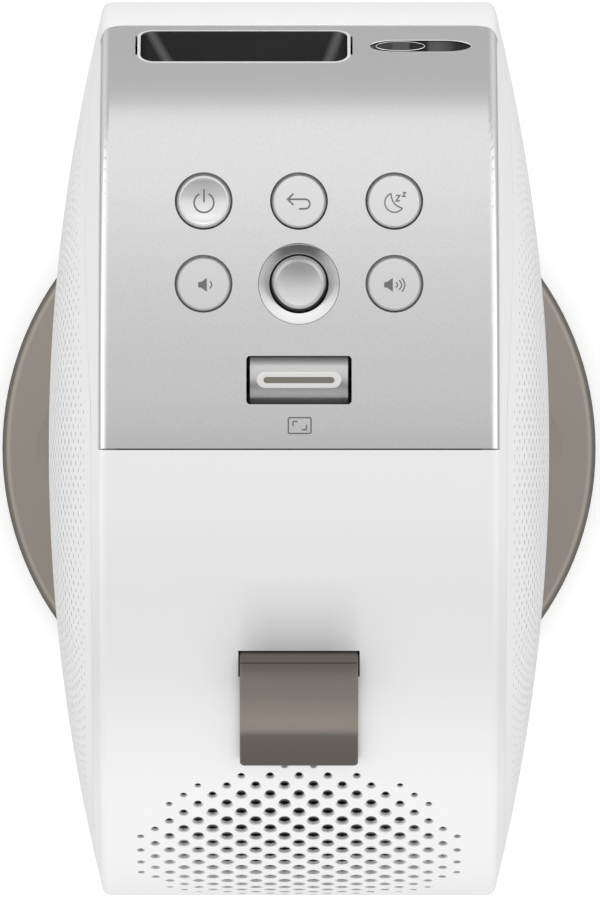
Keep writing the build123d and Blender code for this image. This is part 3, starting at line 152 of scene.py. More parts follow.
# ----------------------------------------------------------------------------------------- finishes
class Nodes:
    """Short ways to add shader nodes to one tree."""

    def __init__(self, tree: bpy.types.NodeTree) -> None:
        """Keeps the tree that the nodes go into."""
        self.tree = tree

    def add(self, kind: str, sources: dict[str | int, object] | None = None,
            **values: object) -> bpy.types.Node:
        """Adds a node and feeds its inputs.

        Args:
            kind: Blender's name for the kind of node.
            sources: What goes into its inputs, by their names or numbers.
            **values: Properties of the node, set first.

        Returns:
            The node.
        """
        node = self.tree.nodes.new(kind)
        for name, value in values.items():
            setattr(node, name, value)
        self.feed_all(node.inputs, sources or {})
        return node

    def group(self, maker: Callable[[], bpy.types.NodeTree],
              sources: dict[str, object]) -> bpy.types.NodeOutputs:
        """Adds a node of the group that maker gives, which is made once, and gives its outputs."""
        tree = bpy.data.node_groups.get(maker.__name__) or maker()
        return self.add("ShaderNodeGroup", sources, node_tree=tree).outputs

    def feed(self, socket: bpy.types.NodeSocket, source: object) -> None:
        """Links a socket to another, or sets its value."""
        if isinstance(source, bpy.types.NodeSocket):
            self.tree.links.new(source, socket)
        else:
            socket.default_value = source

    def feed_all(self, sockets: bpy.types.NodeInputs, sources: dict[str | int, object]) -> None:
        """Feeds several of a node's inputs by their names or numbers."""
        for title, source in sources.items():
            self.feed(sockets[title], source)

    def place(self) -> bpy.types.NodeSocket:
        """Object coordinates, in metres."""
        return self.add("ShaderNodeTexCoord").outputs["Object"]

    def math(self, operation: str, first: object, second: object = 0.5) -> bpy.types.NodeSocket:
        """The result of a Math node with two inputs."""
        return self.add("ShaderNodeMath", {0: first, 1: second}, operation=operation).outputs[0]

    def plus(self, first: object, second: object) -> bpy.types.NodeSocket:
        """The sum of two values."""
        return self.math("ADD", first, second)

    def minus(self, first: object, second: object) -> bpy.types.NodeSocket:
        """The first value less the second."""
        return self.math("SUBTRACT", first, second)

    def times(self, first: object, second: object) -> bpy.types.NodeSocket:
        """The product of two values."""
        return self.math("MULTIPLY", first, second)

    def faded(self, tone: object, share: object) -> bpy.types.NodeSocket:
        """A tone where share is 1, and 1 where it is 0."""
        return self.minus(1.0, self.times(self.minus(1.0, tone), share))

    def noise(self, vector: object, scale: object, detail: float = 2.0) -> bpy.types.NodeSocket:
        """A noise value from 0 to 1 over a vector."""
        sources = {"Vector": vector, "Scale": scale, "Detail": detail}
        return self.add("ShaderNodeTexNoise", sources).outputs["Fac"]

    def spread(self, value: object, low: object, high: object, start: float = 0.0,
               end: float = 1.0) -> bpy.types.NodeSocket:
        """A value from start to end carried over to low to high, held at both ends."""
        sources = dict(enumerate((value, start, end, low, high)))
        return self.add("ShaderNodeMapRange", sources, clamp=True).outputs[0]

    def tint(self, colour: object, factor: object) -> bpy.types.NodeSocket:
        """A colour or a vector times a factor."""
        return self.add("ShaderNodeVectorMath", {0: colour, "Scale": factor}, operation="SCALE").outputs[0]

    def parts(self, vector: object) -> tuple[bpy.types.NodeSocket, ...]:
        """The three parts of a vector."""
        return tuple(self.add("ShaderNodeSeparateXYZ", {0: vector}).outputs)

    def length(self, x: object, y: object, z: object = 0.0) -> bpy.types.NodeSocket:
        """The length of the vector that has these parts."""
        joined = self.add("ShaderNodeCombineXYZ", {0: x, 1: y, 2: z}).outputs[0]
        return self.add("ShaderNodeVectorMath", {0: joined}, operation="LENGTH").outputs["Value"]

    def curve(self, value: object, stops: Stops) -> bpy.types.NodeSocket:
        """A value looked up on a line through stops, level beyond both ends.

        Args:
            value: Where to look.
            stops: Places in rising order, each with the value there.

        Returns:
            The value found.
        """
        ramp = self.add("ShaderNodeValToRGB")
        first, last = stops[0][0], stops[-1][0]
        top = max(found for _, found in stops)
        elements = ramp.color_ramp.elements
        for place, _ in stops[1:-1]:
            elements.new((place - first) / (last - first))
        for element, (_, found) in zip(elements, stops):
            element.color = (*(found / top,) * 3, 1)
        self.feed(ramp.inputs[0], self.spread(value, 0.0, 1.0, first, last))
        return self.times(ramp.outputs[0], top)

    def bump(self, height: object, distance: float) -> bpy.types.NodeSocket:
        """A normal from a height."""
        sources = {"Strength": 1.0, "Distance": distance, "Height": height}
        return self.add("ShaderNodeBump", sources).outputs[0]


def new_group(name: str, inputs: dict[str, tuple[str, object]],
              outputs: dict[str, str]) -> tuple[Nodes, bpy.types.NodeOutputs, bpy.types.NodeInputs]:
    """An empty shader node group with named sockets.

    Args:
        name: The group's name.
        inputs: Kind and default of each input by name.
        outputs: Kind of each output by name.

    Returns:
        Its nodes, the values it is given and the sockets it puts out.
    """
    tree = bpy.data.node_groups.new(name, "ShaderNodeTree")
    for title, (kind, default) in inputs.items():
        socket = tree.interface.new_socket(title, in_out="INPUT", socket_type="NodeSocket" + kind)
        socket.default_value = default
    for title, kind in outputs.items():
        tree.interface.new_socket(title, in_out="OUTPUT", socket_type="NodeSocket" + kind)
    nodes = Nodes(tree)
    return nodes, nodes.add("NodeGroupInput").outputs, nodes.add("NodeGroupOutput").inputs


def new_material(name: str) -> tuple[bpy.types.Material, Nodes, bpy.types.NodeInputs]:
    """A new material.

    Args:
        name: The material's name.

    Returns:
        The material, its nodes and the inputs of its shader.
    """
    material = bpy.data.materials.new(name)
    material.use_nodes = True
    return material, Nodes(material.node_tree), material.node_tree.nodes["Principled BSDF"].inputs


def moulded_grain() -> bpy.types.NodeTree:
    """Group: the fine grain of a moulding or of metallic paint, with a faint cloud in tone and gloss.

    Returns:
        The group, which puts out a colour, a roughness and a height.
    """
    nodes, given, put_out = new_group(
        "moulded_grain",
        {"Colour": ("Color", (0.8, 0.8, 0.8, 1)), "Grain Scale": ("Float", 2500.0), "Mottle": ("Float", 0.02),
         "Cloud Scale": ("Float", 25.0), "Cloud": ("Float", 0.02), "Roughness": ("Float", 0.4),
         "Roughness Spread": ("Float", 0.06)},
        {"Colour": "Color", "Roughness": "Float", "Height": "Float"})
    place = nodes.place()
    grain = nodes.noise(place, given["Grain Scale"], 3.0)
    cloud = nodes.minus(nodes.noise(place, given["Cloud Scale"]), 0.5)
    fine = nodes.times(nodes.minus(grain, 0.5), given["Mottle"])
    factor = nodes.plus(nodes.plus(fine, nodes.times(cloud, given["Cloud"])), 1.0)
    change = nodes.times(cloud, given["Roughness Spread"])
    nodes.feed_all(put_out, {"Colour": nodes.tint(given["Colour"], factor), "Height": grain,
                             "Roughness": nodes.plus(given["Roughness"], change)})
    return nodes.tree


def measures() -> bpy.types.NodeTree:
    """Group: distances of a point, all in millimetres.

    Returns:
        The group, which puts out X, Y, the distance Aside from the drum's middle plane, the distance Round an
        upright line, the Radius about the drum's axis, or with Ball at 1 about the middle of a side's ball,
        and the Arc along the rim from its top.
    """
    nodes, given, put_out = new_group(
        "measures", {title: ("Float", 0.0) for title in ("Line X", "Line Y", "Ball")},
        {title: "Float" for title in ("X", "Y", "Aside", "Round", "Radius", "Arc")})
    x, y, z = nodes.parts(nodes.tint(nodes.place(), 1 / MM))
    aside = nodes.math("ABSOLUTE", x)
    along = nodes.times(nodes.plus(aside, DOME_R - SIDE_APEX), given["Ball"])
    over = nodes.minus(z, AXIS_Z)
    off_line = nodes.length(nodes.minus(x, given["Line X"]), nodes.minus(y, given["Line Y"]))
    nodes.feed_all(put_out, {"X": x, "Y": y, "Aside": aside, "Round": off_line,
                             "Radius": nodes.length(along, y, over),
                             "Arc": nodes.times(nodes.math("ARCTAN2", y, over), DRUM_R)})
    return nodes.tree


def measured(nodes: Nodes, line: tuple[float, float] = (0.0, 0.0),
             ball: float = 0.0) -> bpy.types.NodeOutputs:
    """Adds the group of distances to a tree and gives its outputs."""
    return nodes.group(measures, {"Line X": line[0], "Line Y": line[1], "Ball": ball})


@dataclass(frozen=True)
class ToneRun:
    """Painted light and shade: a tone that changes with one of the measures, all over or within a circle seen
    from above.
    """

    measure: str                   # Y: to the rear; Aside: from the middle plane; Round: from the middle
    stops: Stops                   # places or distances, each with its factor
    circle: tuple[float, float, float] | None = None   # middle and radius
    edge: float = 0.1              # half the width over which the tone ends at the circle

    def factor(self, nodes: Nodes) -> bpy.types.NodeSocket:
        """Adds the tone to a material.

        Args:
            nodes: The material's nodes.

        Returns:
            The tone's factor.
        """
        x, y, radius = self.circle or (0.0, 0.0, 0.0)
        given = measured(nodes, (x, y))
        run = nodes.curve(given[self.measure], self.stops)
        if self.circle is None:
            return run
        within = nodes.spread(given["Round"], 1.0, 0.0, radius - self.edge, radius + self.edge)
        return nodes.faded(run, within)


@dataclass(frozen=True)
class DarkWalls:
    """Painted shade: walls of holes that turn dark below the outer surface."""

    radius: float                  # of the outer surface
    ball: float = 0.0              # 0 for the rim, 1 for a side
    limit: float = 1000.0          # no darker beyond this distance aside
    depths: Stops = ((0.55, 1.0), (0.72, 0.03))
    edge: float = 0.5              # half the width over which the dark ends at the limit

    def factor(self, nodes: Nodes) -> bpy.types.NodeSocket:
        """Adds the tone to a material.

        Args:
            nodes: The material's nodes.

        Returns:
            The tone's factor.
        """
        given = measured(nodes, ball=self.ball)
        tone = nodes.curve(nodes.minus(self.radius, given["Radius"]), self.depths)
        within = nodes.spread(given["Aside"], 1.0, 0.0, self.limit - self.edge, self.limit + self.edge)
        return nodes.faded(tone, within)


@dataclass(frozen=True)
class SlotShade:
    """Painted shadow: soft grey round the tab's slot, deepest at its front edge."""

    along: Stops = ((26.0, 0.0), (31.0, 0.09), (34.3, 0.19), (37.6, 0.30), (39.3, 0.40), (40.8, 0.46),
                    (47.0, 0.42), (50.0, 0.14), (55.0, 0.0))
    aside: Stops = ((6.0, 1.0), (9.2, 0.80), (10.8, 0.65), (12.4, 0.34), (14.0, 0.22), (16.1, 0.14),
                    (20.0, 0.05), (25.0, 0.0))

    def factor(self, nodes: Nodes) -> bpy.types.NodeSocket:
        """Adds the tone to a material.

        Args:
            nodes: The material's nodes.

        Returns:
            The tone's factor.
        """
        given = measured(nodes)
        depth = nodes.times(nodes.curve(given["Y"], self.along), nodes.curve(given["Aside"], self.aside))
        return nodes.minus(1.0, depth)


GRILLE_ARC = math.radians(64.8) * DRUM_R      # middle of the rear grille, along the rim from its top
GRILLE_R = 34.0
GRILLE_PITCH = (5.9, 6.0)      # between holes of one row, and between every other row
# The grille's bevels are not modelled: their grey, and the dark at each hole's front, are painted shade.
BEVEL_BEHIND = 0.10            # a bevel's middle behind its hole's
BEVEL_EDGE = 0.06              # half the width over which a bevel ends
# Radius of the bevels over the distance from the patch's middle, as a share of the patch's radius.
BEVEL_RADII = ((0.60, 1.42), (0.80, 1.25), (0.93, 0.92), (0.995, 0.76), (1.005, 0.0))
DARK_BEFORE = 0.40             # the dark's middle before the hole's, as a share of the bevel's radius
DARK_GROWTH = 1.35             # the dark's radius is this share of the bevel's, less DARK_LESS
DARK_LESS = 0.75
DARK_EDGE = 0.08
DARK_UNTIL = (-10.0, 1.0)      # the dark fades out over these places along the rim, from the patch's middle


def hole_shade_marks() -> bpy.types.NodeTree:
    """Group: painted shade of one half of the grille's holes, grey on a mock bevel round each and dark at its
    front.

    A place is measured from the nearest hole of its half, the middle of which is at whole pitches plus Shift;
    the bevel's radius falls towards the patch's edge.

    Returns:
        The group, which puts out two masks.
    """
    nodes, given, put_out = new_group(
        "hole_shade_marks", {title: ("Float", 0.0) for title in ("X", "Arc", "Shift X", "Shift Arc")},
        {"Bevel": "Float", "Dark": "Float"})
    off, middle = [], []
    for title, pitch in zip(("X", "Arc"), GRILLE_PITCH):
        shift = given["Shift " + title]
        place = nodes.minus(given[title], shift)
        whole = nodes.times(nodes.math("ROUND", nodes.math("DIVIDE", place, pitch)), pitch)
        off.append(nodes.minus(place, whole))
        middle.append(nodes.plus(whole, shift))
    radius = nodes.curve(nodes.math("DIVIDE", nodes.length(*middle), GRILLE_R), BEVEL_RADII)
    bevel = nodes.minus(nodes.length(off[0], nodes.minus(off[1], BEVEL_BEHIND)), radius)
    nodes.feed(put_out["Bevel"], nodes.spread(bevel, 1.0, 0.0, -BEVEL_EDGE, BEVEL_EDGE))
    before = nodes.plus(off[1], nodes.times(radius, DARK_BEFORE))
    dark_radius = nodes.minus(nodes.times(radius, DARK_GROWTH), DARK_LESS)
    dark = nodes.minus(nodes.length(off[0], before), dark_radius)
    near = nodes.spread(given["Arc"], 1.0, 0.0, *DARK_UNTIL)
    nodes.feed(put_out["Dark"], nodes.times(nodes.spread(dark, 1.0, 0.0, -DARK_EDGE, DARK_EDGE), near))
    return nodes.tree


@dataclass(frozen=True)
class HoleBevels:
    """Painted shade round the rear grille's holes, as grey bevels and dark fronts, on the rim's outer surface
    only.
    """

    # painted shade: grey on each bevel, dark at each hole's front
    grey: float = 0.36             # taken off the tone on a bevel
    dark: float = 0.96             # taken off it in the dark
    skin: tuple[float, float] = (0.14, 0.07)   # depths where the marks end and where they are full

    def factor(self, nodes: Nodes) -> bpy.types.NodeSocket:
        """Adds the tone to a material.

        Args:
            nodes: The material's nodes.

        Returns:
            The tone's factor.
        """
        given = measured(nodes)
        arc = nodes.minus(given["Arc"], GRILLE_ARC)
        outside = nodes.spread(given["Radius"], 0.0, 1.0, *(DRUM_R - depth for depth in self.skin))
        tone: object = 1.0
        for half in (0.0, 0.5):
            across, along = (half * pitch for pitch in GRILLE_PITCH)
            marks = nodes.group(hole_shade_marks, {"X": given["X"], "Arc": arc, "Shift X": across,
                                              "Shift Arc": along})
            for title, depth in (("Bevel", self.grey), ("Dark", self.dark)):
                mask = nodes.times(marks[title], outside)
                tone = nodes.times(tone, nodes.minus(1.0, nodes.times(mask, depth)))
        return tone


# Painted light and shade that tint a finish's colour.
Tone = ToneRun | DarkWalls | SlotShade | HoleBevels


class Grain(NamedTuple):
    """The fine relief and unevenness of a surface."""

    size: float = 0.4              # of one grain, in millimetres
    height: float = 0.004          # in millimetres
    mottle: float = 0.04           # share of the colour that changes from grain to grain
    cloud: float = 0.02            # share of it that changes broadly


@dataclass(frozen=True)
class Finish:
    """A surface's colour, gloss and grain."""

    name: str
    colour: Colour
    roughness: float = 0.4
    metallic: float = 0.0
    grain: Grain = Grain()
    coat: float = 0.0
    specular: float = 0.5
    scratches: float = 0.0         # height of turned or brushed lines, in millimetres
    transmission: float = 0.0
    sheen: float = 0.0
    # painted light and shade, as factors on the colour by place
    tones: tuple[Tone, ...] = ()   # factors on the colour by place
    coat_roughness: float = 0.08
    brush: tuple[float, float, float] = (120.0, 6000.0, 6000.0)    # scale of the brushed lines

    def material(self) -> bpy.types.Material:
        """The finish as a material, built once.

        Returns:
            The material.
        """
        ready = bpy.data.materials.get(self.name)
        if ready:
            return ready
        material, nodes, shader = new_material(self.name)
        grain = nodes.group(moulded_grain, {
            "Colour": (*self.colour, 1), "Grain Scale": 1 / (self.grain.size * MM),
            "Mottle": self.grain.mottle, "Cloud": self.grain.cloud, "Roughness": self.roughness})
        colour = grain["Colour"]
        # painted light and shade
        for tone in self.tones:
            colour = nodes.tint(colour, tone.factor(nodes))
        height = nodes.times(grain["Height"], self.grain.height)
        if self.scratches:
            lines = nodes.noise(self.stretched(nodes), 1.0, 4.0)
            height = nodes.plus(height, nodes.times(lines, self.scratches))
        nodes.feed_all(shader, {
            "Base Color": colour, "Roughness": grain["Roughness"], "Normal": nodes.bump(height, MM),
            "Metallic": self.metallic, "Specular IOR Level": self.specular, "Coat Weight": self.coat,
            "Coat Roughness": self.coat_roughness, "Transmission Weight": self.transmission,
            "Sheen Weight": self.sheen})
        return material

    def stretched(self, nodes: Nodes) -> bpy.types.NodeSocket:
        """Object coordinates drawn out along X, for brushed lines."""
        return nodes.add("ShaderNodeMapping", {"Scale": self.brush, "Vector": nodes.place()}).outputs[0]


SATIN = Grain(0.5, 0.004, 0.012, 0.008)
PAINT = Grain(0.14, 0.004, 0.06, 0.01)
TURNED = Grain(0.2, 0.002, 0.03)
# painted shade: the white darker behind the drum's top, lighter again towards the rear
REAR_SHADE = ToneRun("Y", ((13.0, 1.0), (30.0, 0.92), (44.0, 0.89), (50.0, 0.90), (70.0, 1.03), (90.0, 1.04)))


class Surface(Enum):
    """The named finishes of the part."""

    # painted shade behind the top, down the holes, round the tab's slot and round the grille's holes
    RIM = Finish("satin_white_rim", (0.85, 0.85, 0.855), 0.36, 0.0, SATIN, specular=0.7,
                 tones=(REAR_SHADE, DarkWalls(DRUM_R, limit=37.0), SlotShade(), HoleBevels()))
    # painted shade deepening down the perforation's holes
    COVER = Finish("satin_white_cover", (0.855, 0.855, 0.86), 0.38, 0.0, SATIN,
                   tones=(DarkWalls(DOME_R, ball=1.0, depths=((0.1, 1.0), (0.4, 0.36))),))
    WHITE = Finish("satin_white_moulding", (0.855, 0.855, 0.86), 0.38, 0.0, SATIN, tones=(REAR_SHADE,))
    # painted highlight along the panel's rounded side edges
    PANEL = Finish("blasted_panel", (0.60, 0.60, 0.605), 0.21, 0.75, Grain(0.24, 0.004, 0.22), tones=(
        ToneRun("Aside", ((38.9, 1.0), (39.3, 1.2), (39.7, 1.5), (40.1, 1.4), (40.5, 0.9))),))
    CAP = Finish("metallic_cap_paint", (0.62, 0.62, 0.625), 0.30, 0.7, PAINT)
    # painted shade and highlight across the dish: darker at the front, brighter at the rear
    POWER_CAP = Finish("metallic_power_cap", (0.62, 0.62, 0.625), 0.28, 0.7, PAINT, tones=(
        ToneRun("Y", ((-54.9, 0.62), (-53.5, 0.74), (-51.6, 0.80), (-50.4, 1.0), (-48.0, 1.10), (-46.7, 1.38),
                      (-45.8, 1.5)), (19.4, -50.4, 4.75)),))
    # painted shade and highlight on the ring's bowl: dark at its front and sides, bright at its rear
    RING = Finish("turned_bright_ring", (0.66, 0.66, 0.665), 0.22, 0.95, TURNED, scratches=0.002, tones=(
        ToneRun("Y", ((-41.8, 0.36), (-40.9, 0.66), (-40.2, 0.70), (-38.0, 0.62), (-33.5, 0.60),
                      (-29.5, 0.95), (-27.0, 1.2), (-25.5, 1.3))),))
    # painted highlight and shade across the cap, from front to rear
    STICK_CAP = Finish("turned_bright_cap", (0.66, 0.66, 0.665), 0.30, 0.95, TURNED, scratches=0.002, tones=(
        ToneRun("Y", ((-39.4, 1.2), (-38.6, 0.75), (-37.8, 1.2), (-36.0, 1.42), (-34.8, 1.36),
                      (-33.4, 1.15), (-31.0, 1.12), (-29.4, 1.20))),))
    BEZEL = Finish("bright_bezel", (0.95, 0.95, 0.95), 0.16, 0.6, Grain(0.2, 0.001, 0.02))
    PALE = Finish("pale_rib_plastic", (0.80, 0.79, 0.77), 0.3, 0.2, Grain(0.3, 0.002))
    # painted highlight along the base's outer edge, darker at its very edge
    TAUPE_SHELL = Finish("satin_taupe_paint", (0.31, 0.28, 0.245), 0.36, 0.25, Grain(0.2, 0.004, 0.08, 0.03),
                         tones=(ToneRun("Round", ((60.9, 1.0), (61.2, 1.22), (61.5, 1.32), (61.8, 1.05),
                                                  (62.05, 0.5), (62.7, 0.36))),))
    TAUPE_PLASTIC = Finish("taupe_inlay_plastic", (0.20, 0.19, 0.165), 0.45, 0.0, Grain(0.2))
    # painted sheen and shade along the tab: dark by the slot, a bright band, dark again near its end
    TAUPE_RUBBER = Finish("taupe_tab_rubber", (0.20, 0.17, 0.145), 0.5, 0.1, Grain(0.25, 0.008, 0.10, 0.05),
                          sheen=0.1, tones=(
        ToneRun("Y", ((41.0, 0.40), (42.0, 0.60), (44.0, 0.58), (46.0, 0.78), (50.5, 0.88), (55.5, 1.21),
                      (57.2, 1.16), (58.6, 0.50), (60.5, 0.43), (63.2, 0.40))),))
    PRINT = Finish("grey_sign_print", (0.14, 0.14, 0.14), 0.5, 0.0, Grain(0.1, 0.001, 0.08))
    BLACK_RUBBER = Finish("black_foot_rubber", (0.02, 0.02, 0.02), 0.7, 0.0, Grain(0.4, 0.01))
    BLACK_PLASTIC = Finish("black_inner_plastic", (0.02, 0.02, 0.021), 0.45, 0.0, Grain(0.4, 0.01))
    BOARD = Finish("green_circuit_board", (0.01, 0.09, 0.04), 0.35, 0.0, Grain(1.2, 0.02, 0.3), coat=0.3)
    CAST = Finish("cast_light_metal", (0.42, 0.43, 0.44), 0.5, 0.9, Grain(0.6, 0.02, 0.1))
    STEEL = Finish("zinc_plated_steel", (0.55, 0.55, 0.54), 0.3, 1.0, Grain(0.5), scratches=0.003)
    WRAP = Finish("blue_cell_wrap", (0.03, 0.09, 0.28), 0.35, 0.0, Grain(2.0, 0.05), coat=0.2)
    CLOTH = Finish("black_grille_cloth", (0.012, 0.012, 0.012), 0.9, 0.0, Grain(0.35, 0.12, 0.5),
                   specular=0.1)
    DARK_STEEL = Finish("blackened_steel", (0.03, 0.03, 0.03), 0.4, 0.9, Grain(0.4, 0.002))
    SPEAKER = Finish("coated_speaker_metal", (0.03, 0.03, 0.03), 0.55, 0.3, Grain(0.6, 0.02))
    LENS = Finish("coated_lens_glass", (0.55, 0.60, 0.66), 0.03, 0.0, Grain(3.0, 0.0), transmission=0.9)

    def material(self) -> bpy.types.Material:
        """The finish as a material."""
        return self.value.material()


NODE_FINISHES: dict[Surface, tuple[str, ...]] = {
    Surface.RIM: ("upper_housing",),
    Surface.WHITE: ("lower_housing",),
    Surface.PANEL: ("control_panel",),
    Surface.POWER_CAP: ("power_button",),
    Surface.CAP: ("return_button", "sleep_button", "volume_down_button", "volume_up_button", "focus_rocker"),
    Surface.RING: ("joystick_ring",),
    Surface.STICK_CAP: ("joystick_cap",),
    Surface.BEZEL: ("lens_bezel",),
    Surface.PALE: ("rocker_rib",),
    Surface.TAUPE_SHELL: ("base_shell",),
    Surface.TAUPE_PLASTIC: ("rocker_inlay",),
    Surface.BLACK_RUBBER: ("base_foot_ring",),
    Surface.BLACK_PLASTIC: ("base_bottom_cover", "joystick_post", "rocker_cradle", "camera_block",
                            "lens_barrel", "focus_ring", "tact_switches", "fan_frame", "fan_rotor",
                            "port_panel", "audio_jack"),
    Surface.BOARD: ("button_board", "main_board", "port_board"),
    Surface.CAST: ("light_engine_housing", "chassis_plate", "heat_sink"),
    Surface.DARK_STEEL: ("rocker_axle", "tab_pin"),
    Surface.STEEL: ("joystick_cross", "focus_pinion", "focus_motor", "board_standoffs", "keeper_strips",
                    "hdmi_socket", "usb_a_socket", "usb_c_socket", "base_ballast", "base_magnets",
                    "base_screws"),
    Surface.WRAP: ("battery_pack",),
    Surface.CLOTH: ("grille_cloth",),
    Surface.SPEAKER: ("rear_speaker", "side_speaker_left", "side_speaker_right"),
    Surface.LENS: ("front_lens",),
}


def dress_nodes() -> None:
    """Gives every carried-over node its finish."""
    for surface, names in NODE_FINISHES.items():
        for name in names:
            dress(name, surface.material())


def dress(name: str, material: bpy.types.Material) -> None:
    """Assigns a material to a carried-over node and logs it.

    Args:
        name: The node's name.
        material: Its material.
    """
    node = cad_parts[name]
    node.data.materials.clear()
    node.data.materials.append(material)
    LOG.info("dressed %s with %s", name, material.name)


# -------------------------------------------------------------------------------------- side covers
@dataclass
class SideCovers:
    """Domed side covers with a fine round perforation in rings, finer towards the edge."""

    radius: float = 84.3
    flat_radius: float = 153.7
    flat_near: float = 77.5
    flat_angle: float = -39.0
    wall: float = 2.0
    pitch: float = 2.85            # from ring to ring
    reach: float = 78.0            # holes stop at this distance from the axis
    hole_middle: float = 1.85      # diameters
    hole_edge: float = 0.75
    hole_sides: int = 10
    even: float = 0.45             # share of the way out up to which the holes have their full size
    shrink: float = 1.4            # power of their shrinking beyond it
    meeting: float = 2.4           # width over which the outline's two circles blend
    outline_points: int = 320

    def outline(self) -> Array:
        """The cover's outline, a circle flattened by a larger one with rounded meetings.

        In polar terms the distance from the axis is the lesser of the circle's radius and the distance to
        the large circle, blended where the two are close.

        Returns:
            Points as y and z, from the drum's axis.
        """
        angle = np.linspace(0, 2 * np.pi, self.outline_points, endpoint=False)
        back = self.flat_radius - self.flat_near
        turn = angle - math.radians(self.flat_angle)
        flat = -back * np.cos(turn) + np.sqrt(self.flat_radius**2 - (back * np.sin(turn))**2)
        near = np.clip(0.5 + 0.5 * (flat - self.radius) / self.meeting, 0, 1)
        distance = flat * (1 - near) + self.radius * near - self.meeting * near * (1 - near)
        return np.stack([distance * np.sin(angle), distance * np.cos(angle)], axis=-1)

    def holes(self) -> tuple[Array, Array]:
        """Centres and diameters of the holes.

        Each ring has six more than the last, and every other ring is turned by half a step.

        Returns:
            Centres as y and z, and a diameter for each.
        """
        rings = np.arange(1, int(self.reach / self.pitch) + 1)
        ring = np.repeat(rings, 6 * rings)
        step = np.arange(len(ring)) - np.repeat(np.cumsum(6 * rings) - 6 * rings, 6 * rings)
        turn = 2 * np.pi * (step + 0.5 * (ring % 2)) / (6 * ring)
        centre = self.pitch * ring[:, None] * np.stack([np.sin(turn), np.cos(turn)], axis=-1)
        distance = np.hypot(*centre.T)
        bearing = np.arctan2(centre[:, 0], centre[:, 1])
        outline = self.outline()
        bearings = np.arctan2(outline[:, 0], outline[:, 1])
        order = np.argsort(bearings)
        limit = np.interp(bearing, bearings[order], np.hypot(*outline[order].T), period=2 * np.pi)
        share = distance / (limit - (self.radius - self.reach))
        kept = share < 1
        outer = np.clip((share - self.even) / (1 - self.even), 0, 1)**self.shrink
        size = self.hole_middle + (self.hole_edge - self.hole_middle) * outer
        return centre[kept], size[kept]

    def build(self, side: int) -> None:
        """Builds the perforated cover of one side.

        The flat pattern of outline and hole edges is triangulated once, and each of its points is carried
        out to the dome; the same pattern taken in by the wall closes the back, and quads join the edges.

        Args:
            side: +1 or -1 along X.
        """
        outline = self.outline()
        centres, sizes = self.holes()
        turn = np.linspace(0, 2 * np.pi, self.hole_sides, endpoint=False)
        circle = np.stack([np.cos(turn), np.sin(turn)], axis=-1)
        rings = centres[:, None, :] + circle[None] * sizes[:, None, None] / 2
        flat = np.vstack([outline, rings.reshape(-1, 2)])
        index = np.arange(len(flat))
        ends = len(outline) + self.hole_sides * np.arange(len(centres) + 1)
        loop = np.searchsorted(ends, index, side="right")      # 0 for the outline, then one for each hole
        following = index + 1
        following[ends - 1] = np.concatenate([[0], ends[:-1]])
        edges = np.stack([index, following], axis=-1)
        made = delaunay_2d_cdt([Vector(point) for point in flat.tolist()], edges.tolist(), [], 1, 1e-6)
        triangles = np.array([list(face) for face in made[2]])
        source = np.array([given[0] if given else -1 for given in made[3]])
        group = loop[source[triangles]]
        inside = (group[:, 0] == group[:, 1]) & (group[:, 1] == group[:, 2]) & (group[:, 0] > 0)
        triangles = source[triangles[~inside]]
        distance = np.hypot(*flat.T)
        skins = [np.column_stack([side * dome_x(distance, inset), flat[:, 0], flat[:, 1] + AXIS_Z])
                 for inset in (0.0, self.wall)]
        count = len(flat)
        walls = np.column_stack([index, following, following + count, index + count])
        obj = make_object("perforated_cover_left" if side > 0 else "perforated_cover_right", np.vstack(skins),
                          [triangles, triangles[:, ::-1] + count, walls], Surface.COVER.material())
        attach(obj, "drum")
        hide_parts("side_cover_left" if side > 0 else "side_cover_right")
        LOG.info("%s has %d holes", obj.name, len(centres))


